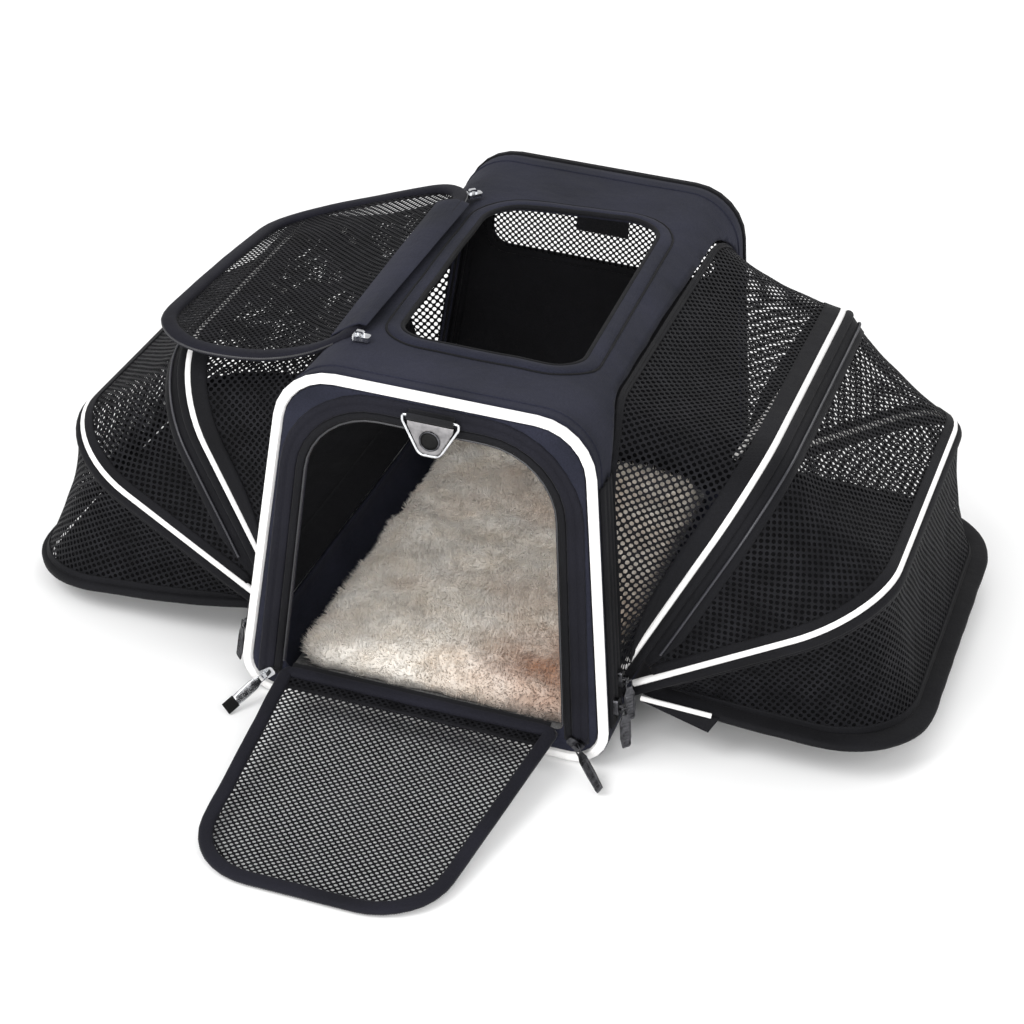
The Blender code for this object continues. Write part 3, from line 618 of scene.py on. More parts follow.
SHELL_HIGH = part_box("top_shell")[1]
TRAY_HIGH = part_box("bottom_tray")[1]
SEAM_Z = TRAY_HIGH.z
HALF_AT_SEAM = SHELL_HIGH.x
TOP_Z = SHELL_HIGH.z
FRONT_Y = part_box("front_panel")[0].y
BACK_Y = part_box("back_panel")[1].y
END_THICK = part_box("front_panel")[1].y - FRONT_Y


def half_width(z, inset=0.0):
    """Half width of the bag's outer surface at a height, moved inward by inset."""
    return HALF_AT_SEAM - SIDE_TAPER * (z - SEAM_Z) - SLANT * inset


def body_corners(inset, foot):
    """The cross-section's corners before rounding, from the left foot round."""
    high = TOP_Z - inset
    return [(-half_width(foot, inset), foot), (half_width(foot, inset), foot),
            (half_width(high, inset), high), (-half_width(high, inset), high)]


def body_loop(inset, foot, **steps):
    """The whole cross-section as a closed outline."""
    radii = [FOOT_RADIUS - inset, FOOT_RADIUS - inset, TOP_RADIUS - inset, TOP_RADIUS - inset]
    return outline(body_corners(inset, foot), radii, **steps)


def body_run(inset, foot, **steps):
    """The cross-section over the top, open at the foot."""
    left, right, top_right, top_left = body_corners(inset, foot)
    return outline([right, top_right, top_left, left], [0, TOP_RADIUS - inset, TOP_RADIUS - inset, 0],
                   closed=False, **steps)


def sag_body(points):
    """Soft cloth between stiff end loops: it sinks a little in the middle and ripples."""
    ends = SHELL_HIGH.y
    middle = 1 - (points[:, 1] / ends) ** 2
    inward = np.stack([points[:, 0], np.zeros(len(points)), points[:, 2] - 0.12], axis=1)
    inward /= np.linalg.norm(inward, axis=1)[:, None]
    waves = 0.0012 * ripple(points, 17.0) + 0.0006 * ripple(points, 42.0, 3.0)
    fade = 1 - (np.abs(points[:, 1]) / ends) ** 6
    return points - inward * (COVER_SAG * middle + (waves + 0.0008) * fade)[:, None]


def cut_away(piece, name, loop, depth, origin, across, up):
    """Cut a prism out of a piece; its outline is flat points placed in space."""
    rings = np.stack([lift_flat(loop, origin, across, up, out) for out in (-depth, depth)])
    count = len(loop)
    faces = grid_faces(2, count, False, True).tolist()
    faces += [list(range(count)), [count + k for k in reversed(range(count))]]
    cutter = outward(mesh_piece(name, rings.reshape(-1, 3), faces, BLACK))
    boolean = piece.modifiers.new(name, "BOOLEAN")
    boolean.operation = "DIFFERENCE"
    boolean.solver = "EXACT"
    boolean.object = cutter
    bake_modifiers(piece)
    bpy.data.objects.remove(cutter, do_unlink=True)


def top_opening():
    """The top opening's corners, from its binding's box; its back edge is cut on a slant."""
    low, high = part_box("top_opening_binding")
    lean, slant, rounding = 0.008, 0.022, 0.0048
    back = high.y + rounding
    return [(low.x + lean, low.y), (high.x, low.y), (high.x - lean, back), (low.x, back - slant)]


def side_opening(grow=0.0):
    """A side arch's corners in (y, z), from its binding's box."""
    low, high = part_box("right_arch_binding")
    return [(low.y - grow, low.z - 0.01), (high.y + grow, low.z - 0.01),
            (high.y + grow, high.z + grow), (low.y - grow, high.z + grow)]


TOP_HOLE_RADII = (0.024, 0.024, 0.034, 0.040)
TOP_HOLE = outline(top_opening(), TOP_HOLE_RADII)
ARCH_RADIUS = 0.058


def make_shell():
    """The lofted cover over the top and corner posts, with its openings."""
    end = SHELL_HIGH.y
    run = body_run(SKIN / 2, SEAM_Z + 0.0005, arc_steps=10, side_steps=42)
    rows = np.linspace(-end, end, 84)
    grid = np.stack([upright(run, y) for y in rows], axis=1)
    soft = sag_body(grid.reshape(-1, 3)).reshape(grid.shape)
    shell = cloth("shell_cover", soft, SKIN, NAVY)
    corners = side_opening(0.001)
    arch = outline([corners[1], corners[2], corners[3], corners[0]],
                   [0, ARCH_RADIUS, ARCH_RADIUS, 0], closed=False, arc_steps=12, side_steps=2)
    cut_away(shell, "arch_cut", arch, 0.4, (0, 0, 0), (0, 1, 0), (0, 0, 1))
    cut_away(shell, "top_cut", TOP_HOLE, 0.05, (0, 0, TOP_Z), (1, 0, 0), (0, 1, 0))
    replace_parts(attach(shell, "bag"), "top_shell")


def make_tray():
    """The sewn floor and the low side walls, a lofted strip that rounds under the bag."""
    end = TRAY_HIGH.y
    corners = body_corners(SKIN / 2, SKIN / 2)
    left, right = corners[0], corners[1]
    rise = SEAM_Z
    top_left = (-half_width(rise, SKIN / 2), rise)
    top_right = (half_width(rise, SKIN / 2), rise)
    run = outline([top_left, left, right, top_right], [0, 0.021, 0.021, 0], closed=False,
                  arc_steps=8, side_steps=3)
    rows = np.linspace(-end, end, 60)
    grid = np.stack([upright(run, y) for y in rows], axis=1)
    flat = grid.reshape(-1, 3)
    waves = 0.0007 * ripple(flat, 22.0) * (flat[:, 2] > 0.006)
    flat[:, 0] -= np.sign(flat[:, 0]) * np.maximum(waves + 0.0004, 0)
    tray = cloth("tray_cloth", flat.reshape(grid.shape), SKIN, NAVY)
    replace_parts(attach(tray, "bag"), "bottom_tray")


def doorway_corners(outset, foot):
    """The doorway's corners, from the front panel's own measures."""
    sill = JOINTS["front_door_hinge"]["pos_m"][2]
    top = DOORWAY_TOP + outset
    low = DOORWAY_HALF + outset - DOORWAY_TAPER * (foot - sill)
    high = DOORWAY_HALF + outset - DOORWAY_TAPER * (top - sill)
    return [(-low, foot), (low, foot), (high, top), (-high, top)]


def doorway_loop(outset, foot, **steps):
    """The doorway as a closed outline."""
    radius = DOORWAY_RADIUS + outset
    return outline(doorway_corners(outset, foot), [0.006, 0.006, radius, radius], **steps)


def doorway_run(outset, foot, **steps):
    """The doorway's sides and top, open at the sill."""
    left, right, top_right, top_left = doorway_corners(outset, foot)
    radius = DOORWAY_RADIUS + outset
    return outline([right, top_right, top_left, left], [0, radius, radius, 0], closed=False, **steps)


def make_front_panel():
    """The padded front panel, crowned between its piping and the doorway."""
    sill = JOINTS["front_door_hinge"]["pos_m"][2]
    y = FRONT_Y + END_THICK / 2
    inner = doorway_loop(0.0, sill, side_steps=30)
    outer = body_loop(*PANEL_EDGE, side_steps=30)
    rows = []
    for t in np.linspace(0, 1, 9):
        ring = upright(inner * (1 - t) + outer * t, y, 0.0012 * math.sin(math.pi * t))
        ring[:, 1] += 0.0007 * ripple(ring, 24.0) * math.sin(math.pi * t)
        rows.append(ring)
    panel = cloth("front_panel_pad", np.stack(rows, axis=1), END_THICK - 0.0006, NAVY, wrap=True,
                  round_edges=True)
    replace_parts(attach(panel, "bag"), "front_panel")
    profile = [(0.0016, 0.0), (0.0030, 0.0014), (0.0062, 0.0018), (0.0074, 0.0004), (0.0088, 0.0016),
               (0.0125, 0.0020), (0.0140, 0.0006), (0.0156, 0.0015), (0.0190, 0.0014), (0.0202, 0.0)]
    foot = 0.0205
    lines = [upright(doorway_run(offset, foot, side_steps=30), FRONT_Y, 0.0006 + lift)
             for offset, lift in profile]
    groove = 3
    tape = cloth("front_zip_band", np.stack(lines[:groove + 1], axis=1), TAPE, BLACK)
    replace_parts(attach(tape, "bag"), "front_zip_tape")
    facing = cloth("front_zip_facing", np.stack(lines[groove:], axis=1), TAPE, INK)
    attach(facing, "bag")
    path = upright(doorway_run(0.0005, foot + 0.012, side_steps=30), FRONT_Y, 0.0012)
    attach(coil("front_zip_coil", path), "bag")


def make_back_panel():
    """The back panel with its netting window and the window's bindings."""
    low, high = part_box("back_window_netting")
    lap = WINDOW_LAP
    half, bottom, top = high.x - lap, low.z + lap, high.z - lap
    window = [(-half, bottom), (half, bottom), (half, top), (-half, top)]
    y = BACK_Y - END_THICK / 2
    inner = outline(window, [WINDOW_RADIUS] * 4, side_steps=30)
    outer = body_loop(*PANEL_EDGE, side_steps=30)
    rows = []
    for t in np.linspace(0, 1, 12):
        ring = upright(inner * (1 - t) + outer * t, y, -0.0012 * math.sin(math.pi * t))
        ring[:, 1] += 0.0007 * ripple(ring, 24.0, 5.0) * math.sin(math.pi * t)
        rows.append(ring)
    panel = cloth("back_panel_pad", np.stack(rows, axis=1), END_THICK - 0.0006, BLACK, wrap=True,
                  round_edges=True)
    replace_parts(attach(panel, "bag"), "back_panel")
    edge = upright(outline(window, [WINDOW_RADIUS] * 4, side_steps=20), BACK_Y + 0.0006)
    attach(sweep("back_window_binding", edge, (0, 1, 0), oval(0.007, 0.0018), BLACK, closed=True), "bag")
    inner_edge = edge + np.array([0, -END_THICK - 0.0012, 0])
    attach(sweep("back_window_inner_binding", inner_edge, (0, 1, 0), oval(0.006, 0.0014), BLACK,
                  closed=True), "bag")
    net_y = (low.y + high.y) / 2
    wide, foot, head = half + NET_MARGIN, bottom - NET_MARGIN, top + NET_MARGIN
    loop = outline([(-wide, foot), (wide, foot), (wide, head), (-wide, head)], [WINDOW_RADIUS] * 4)
    net = netting("back_window_net", (-half - lap, bottom - lap), (half + lap, top + lap), DOOR_PITCH,
                  inside(loop), lambda flat: upright(flat, net_y))
    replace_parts(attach(net, "bag"), "back_window_netting")


def make_trims():
    """Bindings, seams and zip bands on the shell."""
    for node in ("right_arch_binding", "left_arch_binding", "back_binding"):
        paint(node, BLACK)
    paint("front_piping", PIPING)
    end = SHELL_HIGH.y
    for word, y in (("front", -end + 0.0125), ("back", end - 0.0125)):
        run = body_run(0.0002, SEAM_Z, arc_steps=10, side_steps=42)
        seam = cord_tube(f"{word}_shell_seam", sag_body(upright(run, y)), 0.0012, NAVY)
        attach(seam, "bag")
    for word, face, way in (("front", FRONT_Y, 1), ("back", BACK_Y, -1)):
        rows = []
        for inset, deep in ((0.0034, 0.0120), (0.0040, 0.0105), (0.0052, 0.0090), (0.0085, 0.0075),
                            (0.0125, 0.0062)):
            run = body_run(inset, 0.018, side_steps=30)
            rows.append(upright(run, face + way * (END_THICK - 0.0052 + deep)))
        tape = cloth(f"{word}_inner_seam_tape", np.stack(rows, axis=1), TAPE, LINING)
        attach(tape, "bag")
    low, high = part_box("right_zip_tape")
    for word, side in SIDES:
        lines = []
        span = high.y - low.y
        for share, lift in ((0.0, 0.0), (0.10, 0.0016), (0.26, 0.0020), (0.34, 0.0005), (0.42, 0.0018),
                            (0.58, 0.0021), (0.66, 0.0005), (0.74, 0.0016), (0.90, 0.0018), (1.0, 0.0)):
            heights = np.linspace(low.z, high.z, 60)
            lines.append(np.stack([side * (half_width(heights) + 0.0004 + lift),
                                   np.full(60, low.y + share * span), heights], axis=1))
        band = cloth(f"{word}_post_band", np.stack(lines, axis=1), TAPE, BLACK)
        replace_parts(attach(band, "bag"), f"{word}_zip_tape")
        heights = np.linspace(low.z + 0.004, high.z - 0.004, 60)
        path = np.stack([side * (half_width(heights) + 0.0014), np.full(60, low.y + 0.30 * span),
                         heights], axis=1)
        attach(coil(f"{word}_post_coil", path), "bag")
    make_top_collar()


def on_cover(flat, lift):
    """Flat (x, y) points laid on the cover's top, lifted off it."""
    run = body_run(SKIN / 2, SEAM_Z, arc_steps=24, side_steps=20)
    half = run[:len(run) // 2]
    height = np.interp(np.abs(flat[:, 0]), half[::-1, 0], half[::-1, 1])
    spots = sag_body(np.stack([flat[:, 0], flat[:, 1], height], axis=1))
    spots[:, 2] += SKIN / 2 + lift
    return spots


def top_loop(grow):
    """The top opening's outline, moved outward."""
    corners = [(x + grow * u, y + grow * v) for (x, y), (u, v)
               in zip(top_opening(), ((-1, -1), (1, -1), (1, 1), (-1, 1)))]
    return outline(corners, [radius + grow for radius in TOP_HOLE_RADII])


def make_top_collar():
    """The sewn frame round the top opening: a raised navy band, its seam and the inner binding."""
    rows = []
    for grow, lift in ((-0.0010, -0.0020), (-0.0006, 0.0010), (0.0010, 0.0020), (0.0042, 0.0021),
                       (0.0074, 0.0014), (0.0092, 0.0002), (0.0098, -0.0008)):
        rows.append(on_cover(top_loop(grow), lift))
    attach(cloth("top_opening_collar", np.stack(rows, axis=1), 0.0010, NAVY, wrap=True), "bag")
    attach(cord_tube("top_collar_seam", on_cover(top_loop(0.0104), 0.0), 0.0010, BLACK, closed=True), "bag")
    binding = cord_tube("top_opening_edge", on_cover(top_loop(-0.0012), 0.0006), 0.0021, BLACK, closed=True)
    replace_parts(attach(binding, "bag"), "top_opening_binding")


def paint(node, material):
    """Give a CAD node whose shape is right its finished material."""
    thing = frame["nodes"][node]
    thing.data.materials.clear()
    thing.data.materials.append(material)
    return thing


make_shell()
make_tray()
make_front_panel()
make_back_panel()
make_trims()


# ---------------------------------------------------------------- front door and top lid

def make_door():
    """The netting door folded down on its hinge strip, its rim, netting and zip coil."""
    joint = JOINTS["front_door_hinge"]
    hinge = np.array(joint["pos_m"])
    drop = math.radians(joint["range_deg"][1])
    along = np.array([0, -math.sin(drop), math.cos(drop)])
    normal = np.cross((1, 0, 0), along)
    middle = hinge + normal * -0.0047
    clear = 0.0055
    skew = 0.035

    def place(flat, out=0.0):
        shrunk = flat * np.array([1.0, DOOR_SHRINK])
        lean = shrunk - np.stack([skew * flat[:, 1], np.zeros(len(flat))], axis=1)
        return lift_flat(lean, middle, (1, 0, 0), along, out)

    half, taper, top = DOORWAY_HALF, DOORWAY_TAPER, DOORWAY_TOP - hinge[2]

    def loop(inset, **steps):
        foot = clear + inset
        low_half = half - clear - inset - taper * foot
        high_half = half - clear - inset - taper * (top - clear - inset)
        corners = [(-low_half, foot), (low_half, foot), (high_half, top - clear - inset),
                   (-high_half, top - clear - inset)]
        radius = DOORWAY_RADIUS - clear - inset
        return outline(corners, [0.004, 0.004, radius, radius], **steps)

    path = place(spaced(loop(0.0), 0.004, True))
    rim = sweep("door_rim", path, normal, oval(0.0104, 0.0066, 14, 1.3), INK, True, 0.0005)
    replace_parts(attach(rim, "front_door"), "front_door_rim")
    edge = place(spaced(loop(-0.0040), 0.004, True)[8:-8], 0.0016)
    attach(coil("door_coil", edge), "front_door")

    def sagged(flat):
        rise = np.sin(math.pi * np.clip(flat[:, 1] / top, 0, 1)) * np.cos(flat[:, 0] / half * 1.3)
        spots = place(flat)
        return spots + normal * (0.0045 * rise + 0.0008 * ripple(spots, 30.0))[:, None]

    net = netting("door_net", (-half, 0.0), (half, top), DOOR_PITCH, inside(loop(0.002)), sagged)
    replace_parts(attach(net, "front_door"), "front_door_netting")
    net_area(loop(0.002))
    rows = []
    for reach_at, lift in ((-0.002, -0.0030), (0.003, -0.0012), (0.008, 0.0034), (0.016, 0.0030),
                           (0.022, 0.0006)):
        width = half - clear - 0.003
        line = np.stack([np.linspace(-width, width, 50), np.full(50, reach_at)], axis=1)
        rows.append(place(line) + normal * lift)
    flap = cloth("door_hinge_flap", np.stack(rows, axis=1), CLOTH, BLACK)
    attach(flap, "front_door")


def make_lid():
    """The netting lid laid open to the left: rim, netting, coil and hinge flap."""
    joint = JOINTS["top_lid_hinge"]
    hinge = np.array(joint["pos_m"])
    low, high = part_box("top_lid_rim")
    opened = math.radians(joint["range_deg"][1])
    along = np.array([math.cos(opened), 0, math.sin(opened)])
    reach = (hinge[0] - low.x) / -math.cos(opened) - RIM_RADIUS * 0.5
    across = np.array([0, 1, 0])
    normal = np.cross(along, across)
    slope = LID_SKEW / reach
    lost = LID_CORNER * (slope + math.hypot(1, slope) - 1)
    front, far_back = low.y + RIM_RADIUS, high.y - RIM_RADIUS + lost
    back = far_back - LID_SKEW

    def place(flat):
        spots = lift_flat(flat, hinge, along, across)
        depth = np.clip(flat[:, 0] / reach, 0, 1)
        side = np.clip((flat[:, 1] - front) / (back + slope * flat[:, 0] - front), 0, 1)
        dip = LID_DIP * np.sin(math.pi * depth ** 0.8) * (1 - side) ** 1.5
        droop = LID_DROOP * (3 - 2 * depth) * depth ** 2 * side ** 2
        return spots - np.outer(dip + droop, (0, 0, 1))

    def loop(inset, **steps):
        near, far = 0.006 + inset, reach - inset
        corners = [(near, front + inset), (far, front + inset), (far, back + slope * far - inset),
                   (near, back + slope * near - inset)]
        radii = [0.012, LID_CORNER - inset, LID_CORNER + 0.010 - inset, LID_HINGE_CORNER - inset]
        return outline(corners, radii, **steps)

    def flatten(piece):
        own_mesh(piece)

    path = place(spaced(loop(0.0), 0.004, True))
    rim = sweep("lid_rim", path, normal, oval(0.0120, 0.0070, 14, 1.3), INK, True, 0.0005)
    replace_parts(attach(rim, "top_lid"), "top_lid_rim")
    flatten(rim)
    edge = place(spaced(loop(-0.0056), 0.004, True)[6:-6])
    flatten(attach(coil("lid_coil", edge), "top_lid"))

    def sagged(flat):
        share = np.clip(flat[:, 0] / reach, 0, 1)
        wide = np.clip((flat[:, 1] - front) / (far_back - front), 0, 1)
        spots = place(flat)
        drop = 0.006 * np.sin(math.pi * share) * np.sin(math.pi * wide)
        return spots - np.outer(drop + 0.002 * ripple(spots, 20.0), (0, 0, 1))

    net = netting("lid_net", (0, front), (reach, far_back), DOOR_PITCH, inside(loop(0.002)), sagged)
    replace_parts(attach(net, "top_lid"), "top_lid_netting")
    flatten(net)
    net_area(loop(0.002))
    rows = []
    for reach_at, lift in ((-0.004, -0.0012), (0.001, 0.0016), (0.006, 0.0036), (0.014, 0.0042),
                           (0.022, 0.0034), (0.025, 0.0006)):
        line = np.stack([np.full(60, reach_at), np.linspace(front + 0.005, back - 0.036, 60)], axis=1)
        rows.append(place(line) + normal * lift * (1 if normal[2] > 0 else -1))
    strip = cloth("lid_hinge_flap", np.stack(rows, axis=1), CLOTH, NAVY, round_edges=True)
    flatten(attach(strip, "top_lid"))


make_door()
make_lid()


# ---------------------------------------------------------------- fan wings

def measures(word, side, label):
    """A hoop's or floor panel's shape from its node's box and its joint."""
    floor = label == "floor"
    low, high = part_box(f"{word}_wing_rim" if floor else f"{word}_{label}_hoop")
    radius = RIM_RADIUS if floor else HOOP_RADIUS
    hinge = JOINTS[f"{word}_wing_hinge" if floor else f"{word}_{label}_hoop_hinge"]["pos_m"]
    out = (high.x if side > 0 else -low.x) - radius - abs(hinge[0])
    rise = (low.z + radius if floor else high.z - radius) - hinge[2]
    return {"front": low.y + radius, "back": high.y - radius, "reach": math.hypot(out, rise),
            "angle": math.atan2(rise, out), "hinge": (abs(hinge[0]), hinge[2]),
            "pinch": 0.012 if floor else 0.0}


def arch(shape, foot, shrink=0.0, leg=22, arc=12, top=26):
    """A hoop's U as (y, reach) points; the same counts make two arches match point by point."""
    front, back, reach = shape["front"] + shrink, shape["back"] - shrink, shape["reach"] - shrink
    corner = shape.get("corner", HOOP_CORNER)
    climb = np.linspace(foot, reach - corner, leg)
    turn = np.linspace(0, math.pi / 2, arc + 2)[1:-1]
    across = np.linspace(front + corner, back - corner, top)
    pinch = shape["pinch"] * np.clip(1 - climb / 0.10, 0, 1) ** 2
    y = np.concatenate([front + pinch, front + corner * (1 - np.cos(turn)), across,
                        back - corner * (1 - np.sin(turn)), np.full(leg, back)])
    r = np.concatenate([climb, reach - corner * (1 - np.sin(turn)), np.full(top, reach),
                        reach - corner * (1 - np.cos(turn)), climb[::-1]])
    return y, r


def edge_points(side, shape, foot, rise=0.0, shrink=0.0):
    """An arch in space, lifted off its own plane by rise."""
    y, r = arch(shape, foot, shrink)
    c, s = math.cos(shape["angle"]), math.sin(shape["angle"])
    x = shape["hinge"][0] + r * c - rise * s
    z = shape["hinge"][1] + r * s + rise * c
    return np.stack([side * x, y, z], axis=1)


def plane_normal(side, shape):
    """The upward normal of a hoop's plane."""
    return np.array([-side * math.sin(shape["angle"]), 0, math.cos(shape["angle"])])


def mouth_edge(side, foot_z):
    """The side arch's own edge, which the inner gore is sewn to."""
    low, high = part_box("right_arch_binding")
    run = body_run(SKIN / 2, SEAM_Z, arc_steps=16, side_steps=20)
    right = run[:len(run) // 2]
    base = JOINTS["right_inner_hoop_hinge"]["pos_m"][2]
    shape = {"front": low.y + 0.0012, "back": high.y - 0.0012, "reach": high.z - 0.0018 - base,
             "pinch": 0.0, "corner": ARCH_RADIUS}
    y, r = arch(shape, foot_z - base)
    z = base + r
    return np.stack([side * np.interp(z, right[:, 1], right[:, 0]), y, z], axis=1)


def gore_frame(side, near, far, sag, seed):
    """A gore's middle line, width and place function. Flat points are (along the arch, across)."""
    middle = (near + far) / 2
    run = np.concatenate([[0], np.cumsum(np.linalg.norm(np.diff(middle, axis=0), axis=1))])
    width = np.linalg.norm(far - near, axis=1)
    inward = np.cross(np.gradient(middle, axis=0), far - near)
    inward /= np.linalg.norm(inward, axis=1)[:, None]
    heart = np.array([side * 0.20, 0.01, 0.04])
    inward *= np.sign(np.einsum("ij,ij->i", inward, heart - middle))[:, None]

    def along(values, u):
        return np.stack([np.interp(u, run, values[:, k]) for k in range(3)], axis=1)

    def place(flat, out=0.0):
        u = np.clip(flat[:, 0], 0, run[-1])
        wide = np.interp(u, run, width)
        t = np.clip(0.5 + flat[:, 1] / wide, 0.0, 1.0)
        bow = 4 * t * (1 - t)
        a, b, n = along(near, u), along(far, u), along(inward, u)
        spots = a + (b - a) * t[:, None]
        full = np.clip(wide / 0.10, 0, 1)
        depth = sag * wide * bow + bow * full * (0.0022 * ripple(spots, 15.0, seed)
                                                 + 0.0010 * ripple(spots, 38.0, seed + 4))
        return spots + n * (depth - out)[:, None]

    def share(flat):
        return np.clip(0.5 + flat[:, 1] / np.interp(flat[:, 0], run, width), 0.0, 1.0)

    return run, width, place, share


def ride_fan(piece):
    """Read and drop the share across its gore that a piece's points carry, and bake its placement into its
    mesh.
    """
    values = np.zeros(len(piece.data.vertices), np.float32)
    piece.data.attributes["fan"].data.foreach_get("value", values)
    piece.data.attributes.remove(piece.data.attributes["fan"])
    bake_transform(piece)
    return piece


def make_gore(side, word, label, near, far, bands, sag, node):
    """One netting gore with its two cloth borders."""
    run, width, place, share = gore_frame(side, near, far, sag, 7.0 * len(label) + side)
    half = width.max() / 2

    def keep(points):
        u = points[:, 0]
        return (u > 0) & (u < run[-1]) & (np.abs(points[:, 1]) < np.interp(u, run, width) / 2)

    name = f"{word}_{label}_net"
    net = netting(name, (0, -half), (run[-1], half), WING_PITCH, keep, place, share)
    for word_edge, band, sign in (("near", bands[0], -1), ("far", bands[1], 1)):
        reach = np.minimum(band, 0.46 * width)
        columns = []
        for part in np.linspace(0, 1, 5):
            columns.append(np.stack([run, sign * (width / 2 - reach * part)], axis=1))
        flat = np.stack(columns, axis=1).reshape(-1, 2)
        grid = place(flat, 0.0007).reshape(len(run), 5, 3)
        if sign < 0:
            grid, flat = grid[:, ::-1], flat.reshape(len(run), 5, 2)[:, ::-1].reshape(-1, 2)
        border = mesh_piece(f"{word}_{label}_{word_edge}_border", grid.reshape(-1, 3),
                            grid_faces(len(run), 5), BLACK)
        mark(border, share(flat))
        ride_fan(thicken(border, 0.0009))
    ride_fan(net)
    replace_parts(net, node)
    return run, width, place, share


def make_wing(word, side):
    """One fan wing: sleeves, piping, gores, zip coil, floor panel and its band."""
    inner, outer, floor = (measures(word, side, label) for label in ("inner", "outer", "floor"))
    lift = 0.0060
    for label, shape in (("inner", inner), ("outer", outer)):
        body = f"{word}_{label}_hoop"
        normal = plane_normal(side, shape)
        sleeve = sweep(f"{word}_{label}_sleeve", edge_points(side, shape, 0.008), normal,
                       oval(0.0070, 0.0072, 12, 1.2), BLACK, wobble=0.0004)
        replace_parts(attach(sleeve, body), body)
        cord = cord_tube(f"{word}_{label}_piping", edge_points(side, shape, 0.020, lift), 0.0028, PIPING)
        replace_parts(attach(cord, body), f"{word}_{label}_hoop_piping")
    above, below = lift + 0.0016, -0.0028
    make_gore(side, word, "inner", mouth_edge(side, INNER_FOOT),
              edge_points(side, inner, INNER_FOOT, above),
              (0.004, 0.014), 0.05, f"{word}_inner_gore")
    run, width, place, share = make_gore(
        side, word, "middle", edge_points(side, inner, MIDDLE_FOOT, below),
        edge_points(side, outer, MIDDLE_FOOT, above), (0.016, 0.008), 0.04,
        f"{word}_middle_gore")
    wide = width > 0.022
    flat = spaced(np.stack([run, 0.0085 - width / 2], axis=1)[wide], 0.0009)
    path = place(flat, 0.0024)
    zip_coil = cord_tube(f"{word}_hoop_coil", path, 0.0012, COIL, beads=COIL_PINCH)
    spots = spots_of(zip_coil)
    nearest = np.concatenate([np.argmin(((part[:, None] - path[None]) ** 2).sum(axis=2), axis=1)
                              for part in np.array_split(spots, 40)])
    mark(zip_coil, share(flat)[nearest])
    ride_fan(zip_coil)
    make_gore(side, word, "outer", edge_points(side, outer, 0.034, below),
              edge_points(side, floor, 0.020, 0.0030, max(0.001, FLOOR_BAND[word] - 0.007)), (0.003, 0.006),
              0.05, f"{word}_outer_gore")
    make_wing_floor(word, side, floor)


def make_wing_floor(word, side, floor):
    """The floor panel, the soft band round it, and the strip that hinges it to the bag."""
    body = f"{word}_wing"
    normal = plane_normal(side, floor)
    wide = FLOOR_BAND[word]
    inset = wide / 2 - RIM_RADIUS
    path = spaced(edge_points(side, floor, 0.006, 0.0, inset), 0.005)
    band = sweep(f"{word}_floor_band", path, normal, oval(wide, 0.0074, 16, 1.5), BLACK,
                 wobble=0.0006)
    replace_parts(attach(band, body), f"{word}_wing_rim")
    y, r = arch(floor, 0.004, 0.006)
    half = len(y) // 2
    rows = []
    for reach in np.linspace(0.004, floor["reach"] - 0.006, 44):
        front = np.interp(reach, r[:half], y[:half])
        back = np.interp(reach, r[half:][::-1], y[half:][::-1])
        rows.append(np.stack([np.full(60, reach), np.linspace(front, back, 60)], axis=1))
    flat = np.concatenate(rows)
    c, s = math.cos(floor["angle"]), math.sin(floor["angle"])
    spots = np.stack([side * (floor["hinge"][0] + flat[:, 0] * c), flat[:, 1],
                      floor["hinge"][1] + flat[:, 0] * s], axis=1)
    spots[:, 2] += 0.0012 * ripple(spots, 16.0, 9.0) - 0.0006
    panel = cloth(f"{word}_floor_cloth", spots.reshape(44, 60, 3), 0.0022, BLACK)
    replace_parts(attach(panel, body), f"{word}_wing_floor")
    if f"{word}_wing_piping" in frame["nodes"]:
        make_floor_piping(word, side, floor)
    rows = []
    start = (side * (half_width(0.0300) - 0.001), 0.0285)
    end = (side * (floor["hinge"][0] + 0.014), floor["hinge"][1] + 0.0024)
    for t in np.linspace(0, 1, 9):
        x, z = start[0] + (end[0] - start[0]) * t, start[1] + (end[1] - start[1]) * t
        z += 0.0016 * math.sin(math.pi * t)
        rows.append(np.stack([np.full(70, x), np.linspace(floor["front"] + 0.014, floor["back"] - 0.004, 70),
                              np.full(70, z)], axis=1))
    strip = cloth(f"{word}_hinge_strip", np.stack(rows, axis=1), CLOTH, BLACK)
    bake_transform(strip)


def make_floor_piping(word, side, floor):
    """The short white piping on the floor's front foot, and a black cloth flap that hangs down and forward
    under it.
    """
    low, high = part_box(f"{word}_wing_piping")
    body = f"{word}_wing"
    c, s = math.cos(floor["angle"]), math.sin(floor["angle"])
    start, end = sorted((abs(low.x), abs(high.x)))
    out = np.linspace(start, end, 24)
    rise = floor["hinge"][1] + (out - floor["hinge"][0]) * s / c
    y = (low.y + high.y) / 2
    path = np.stack([side * out, np.full(24, y), rise + 0.0042], axis=1)
    cord = cord_tube(f"{word}_floor_piping", path, 0.0020, PIPING)
    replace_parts(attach(cord, body), f"{word}_wing_piping")
    share = (out - start) / (end - start)
    rows = []
    for t in np.linspace(0, 1, 6):
        fall = t * (0.0015 + 0.0095 * share)
        stretch = 0.006 * (1 - t) * share
        rows.append(np.stack([side * (out + stretch), y + 0.0015 - 0.75 * fall,
                              rise + 0.0026 - 0.8 * fall], axis=1))
    # a black cloth sheet hanging down and forward from under the piping, longer towards the floor's outer
    # end
    flap = cloth(f"{word}_floor_corner", np.stack(rows, axis=1), CLOTH, BLACK)
    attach(flap, body)


for word, side in SIDES:
    make_wing(word, side)


# ---------------------------------------------------------------- fleece pad

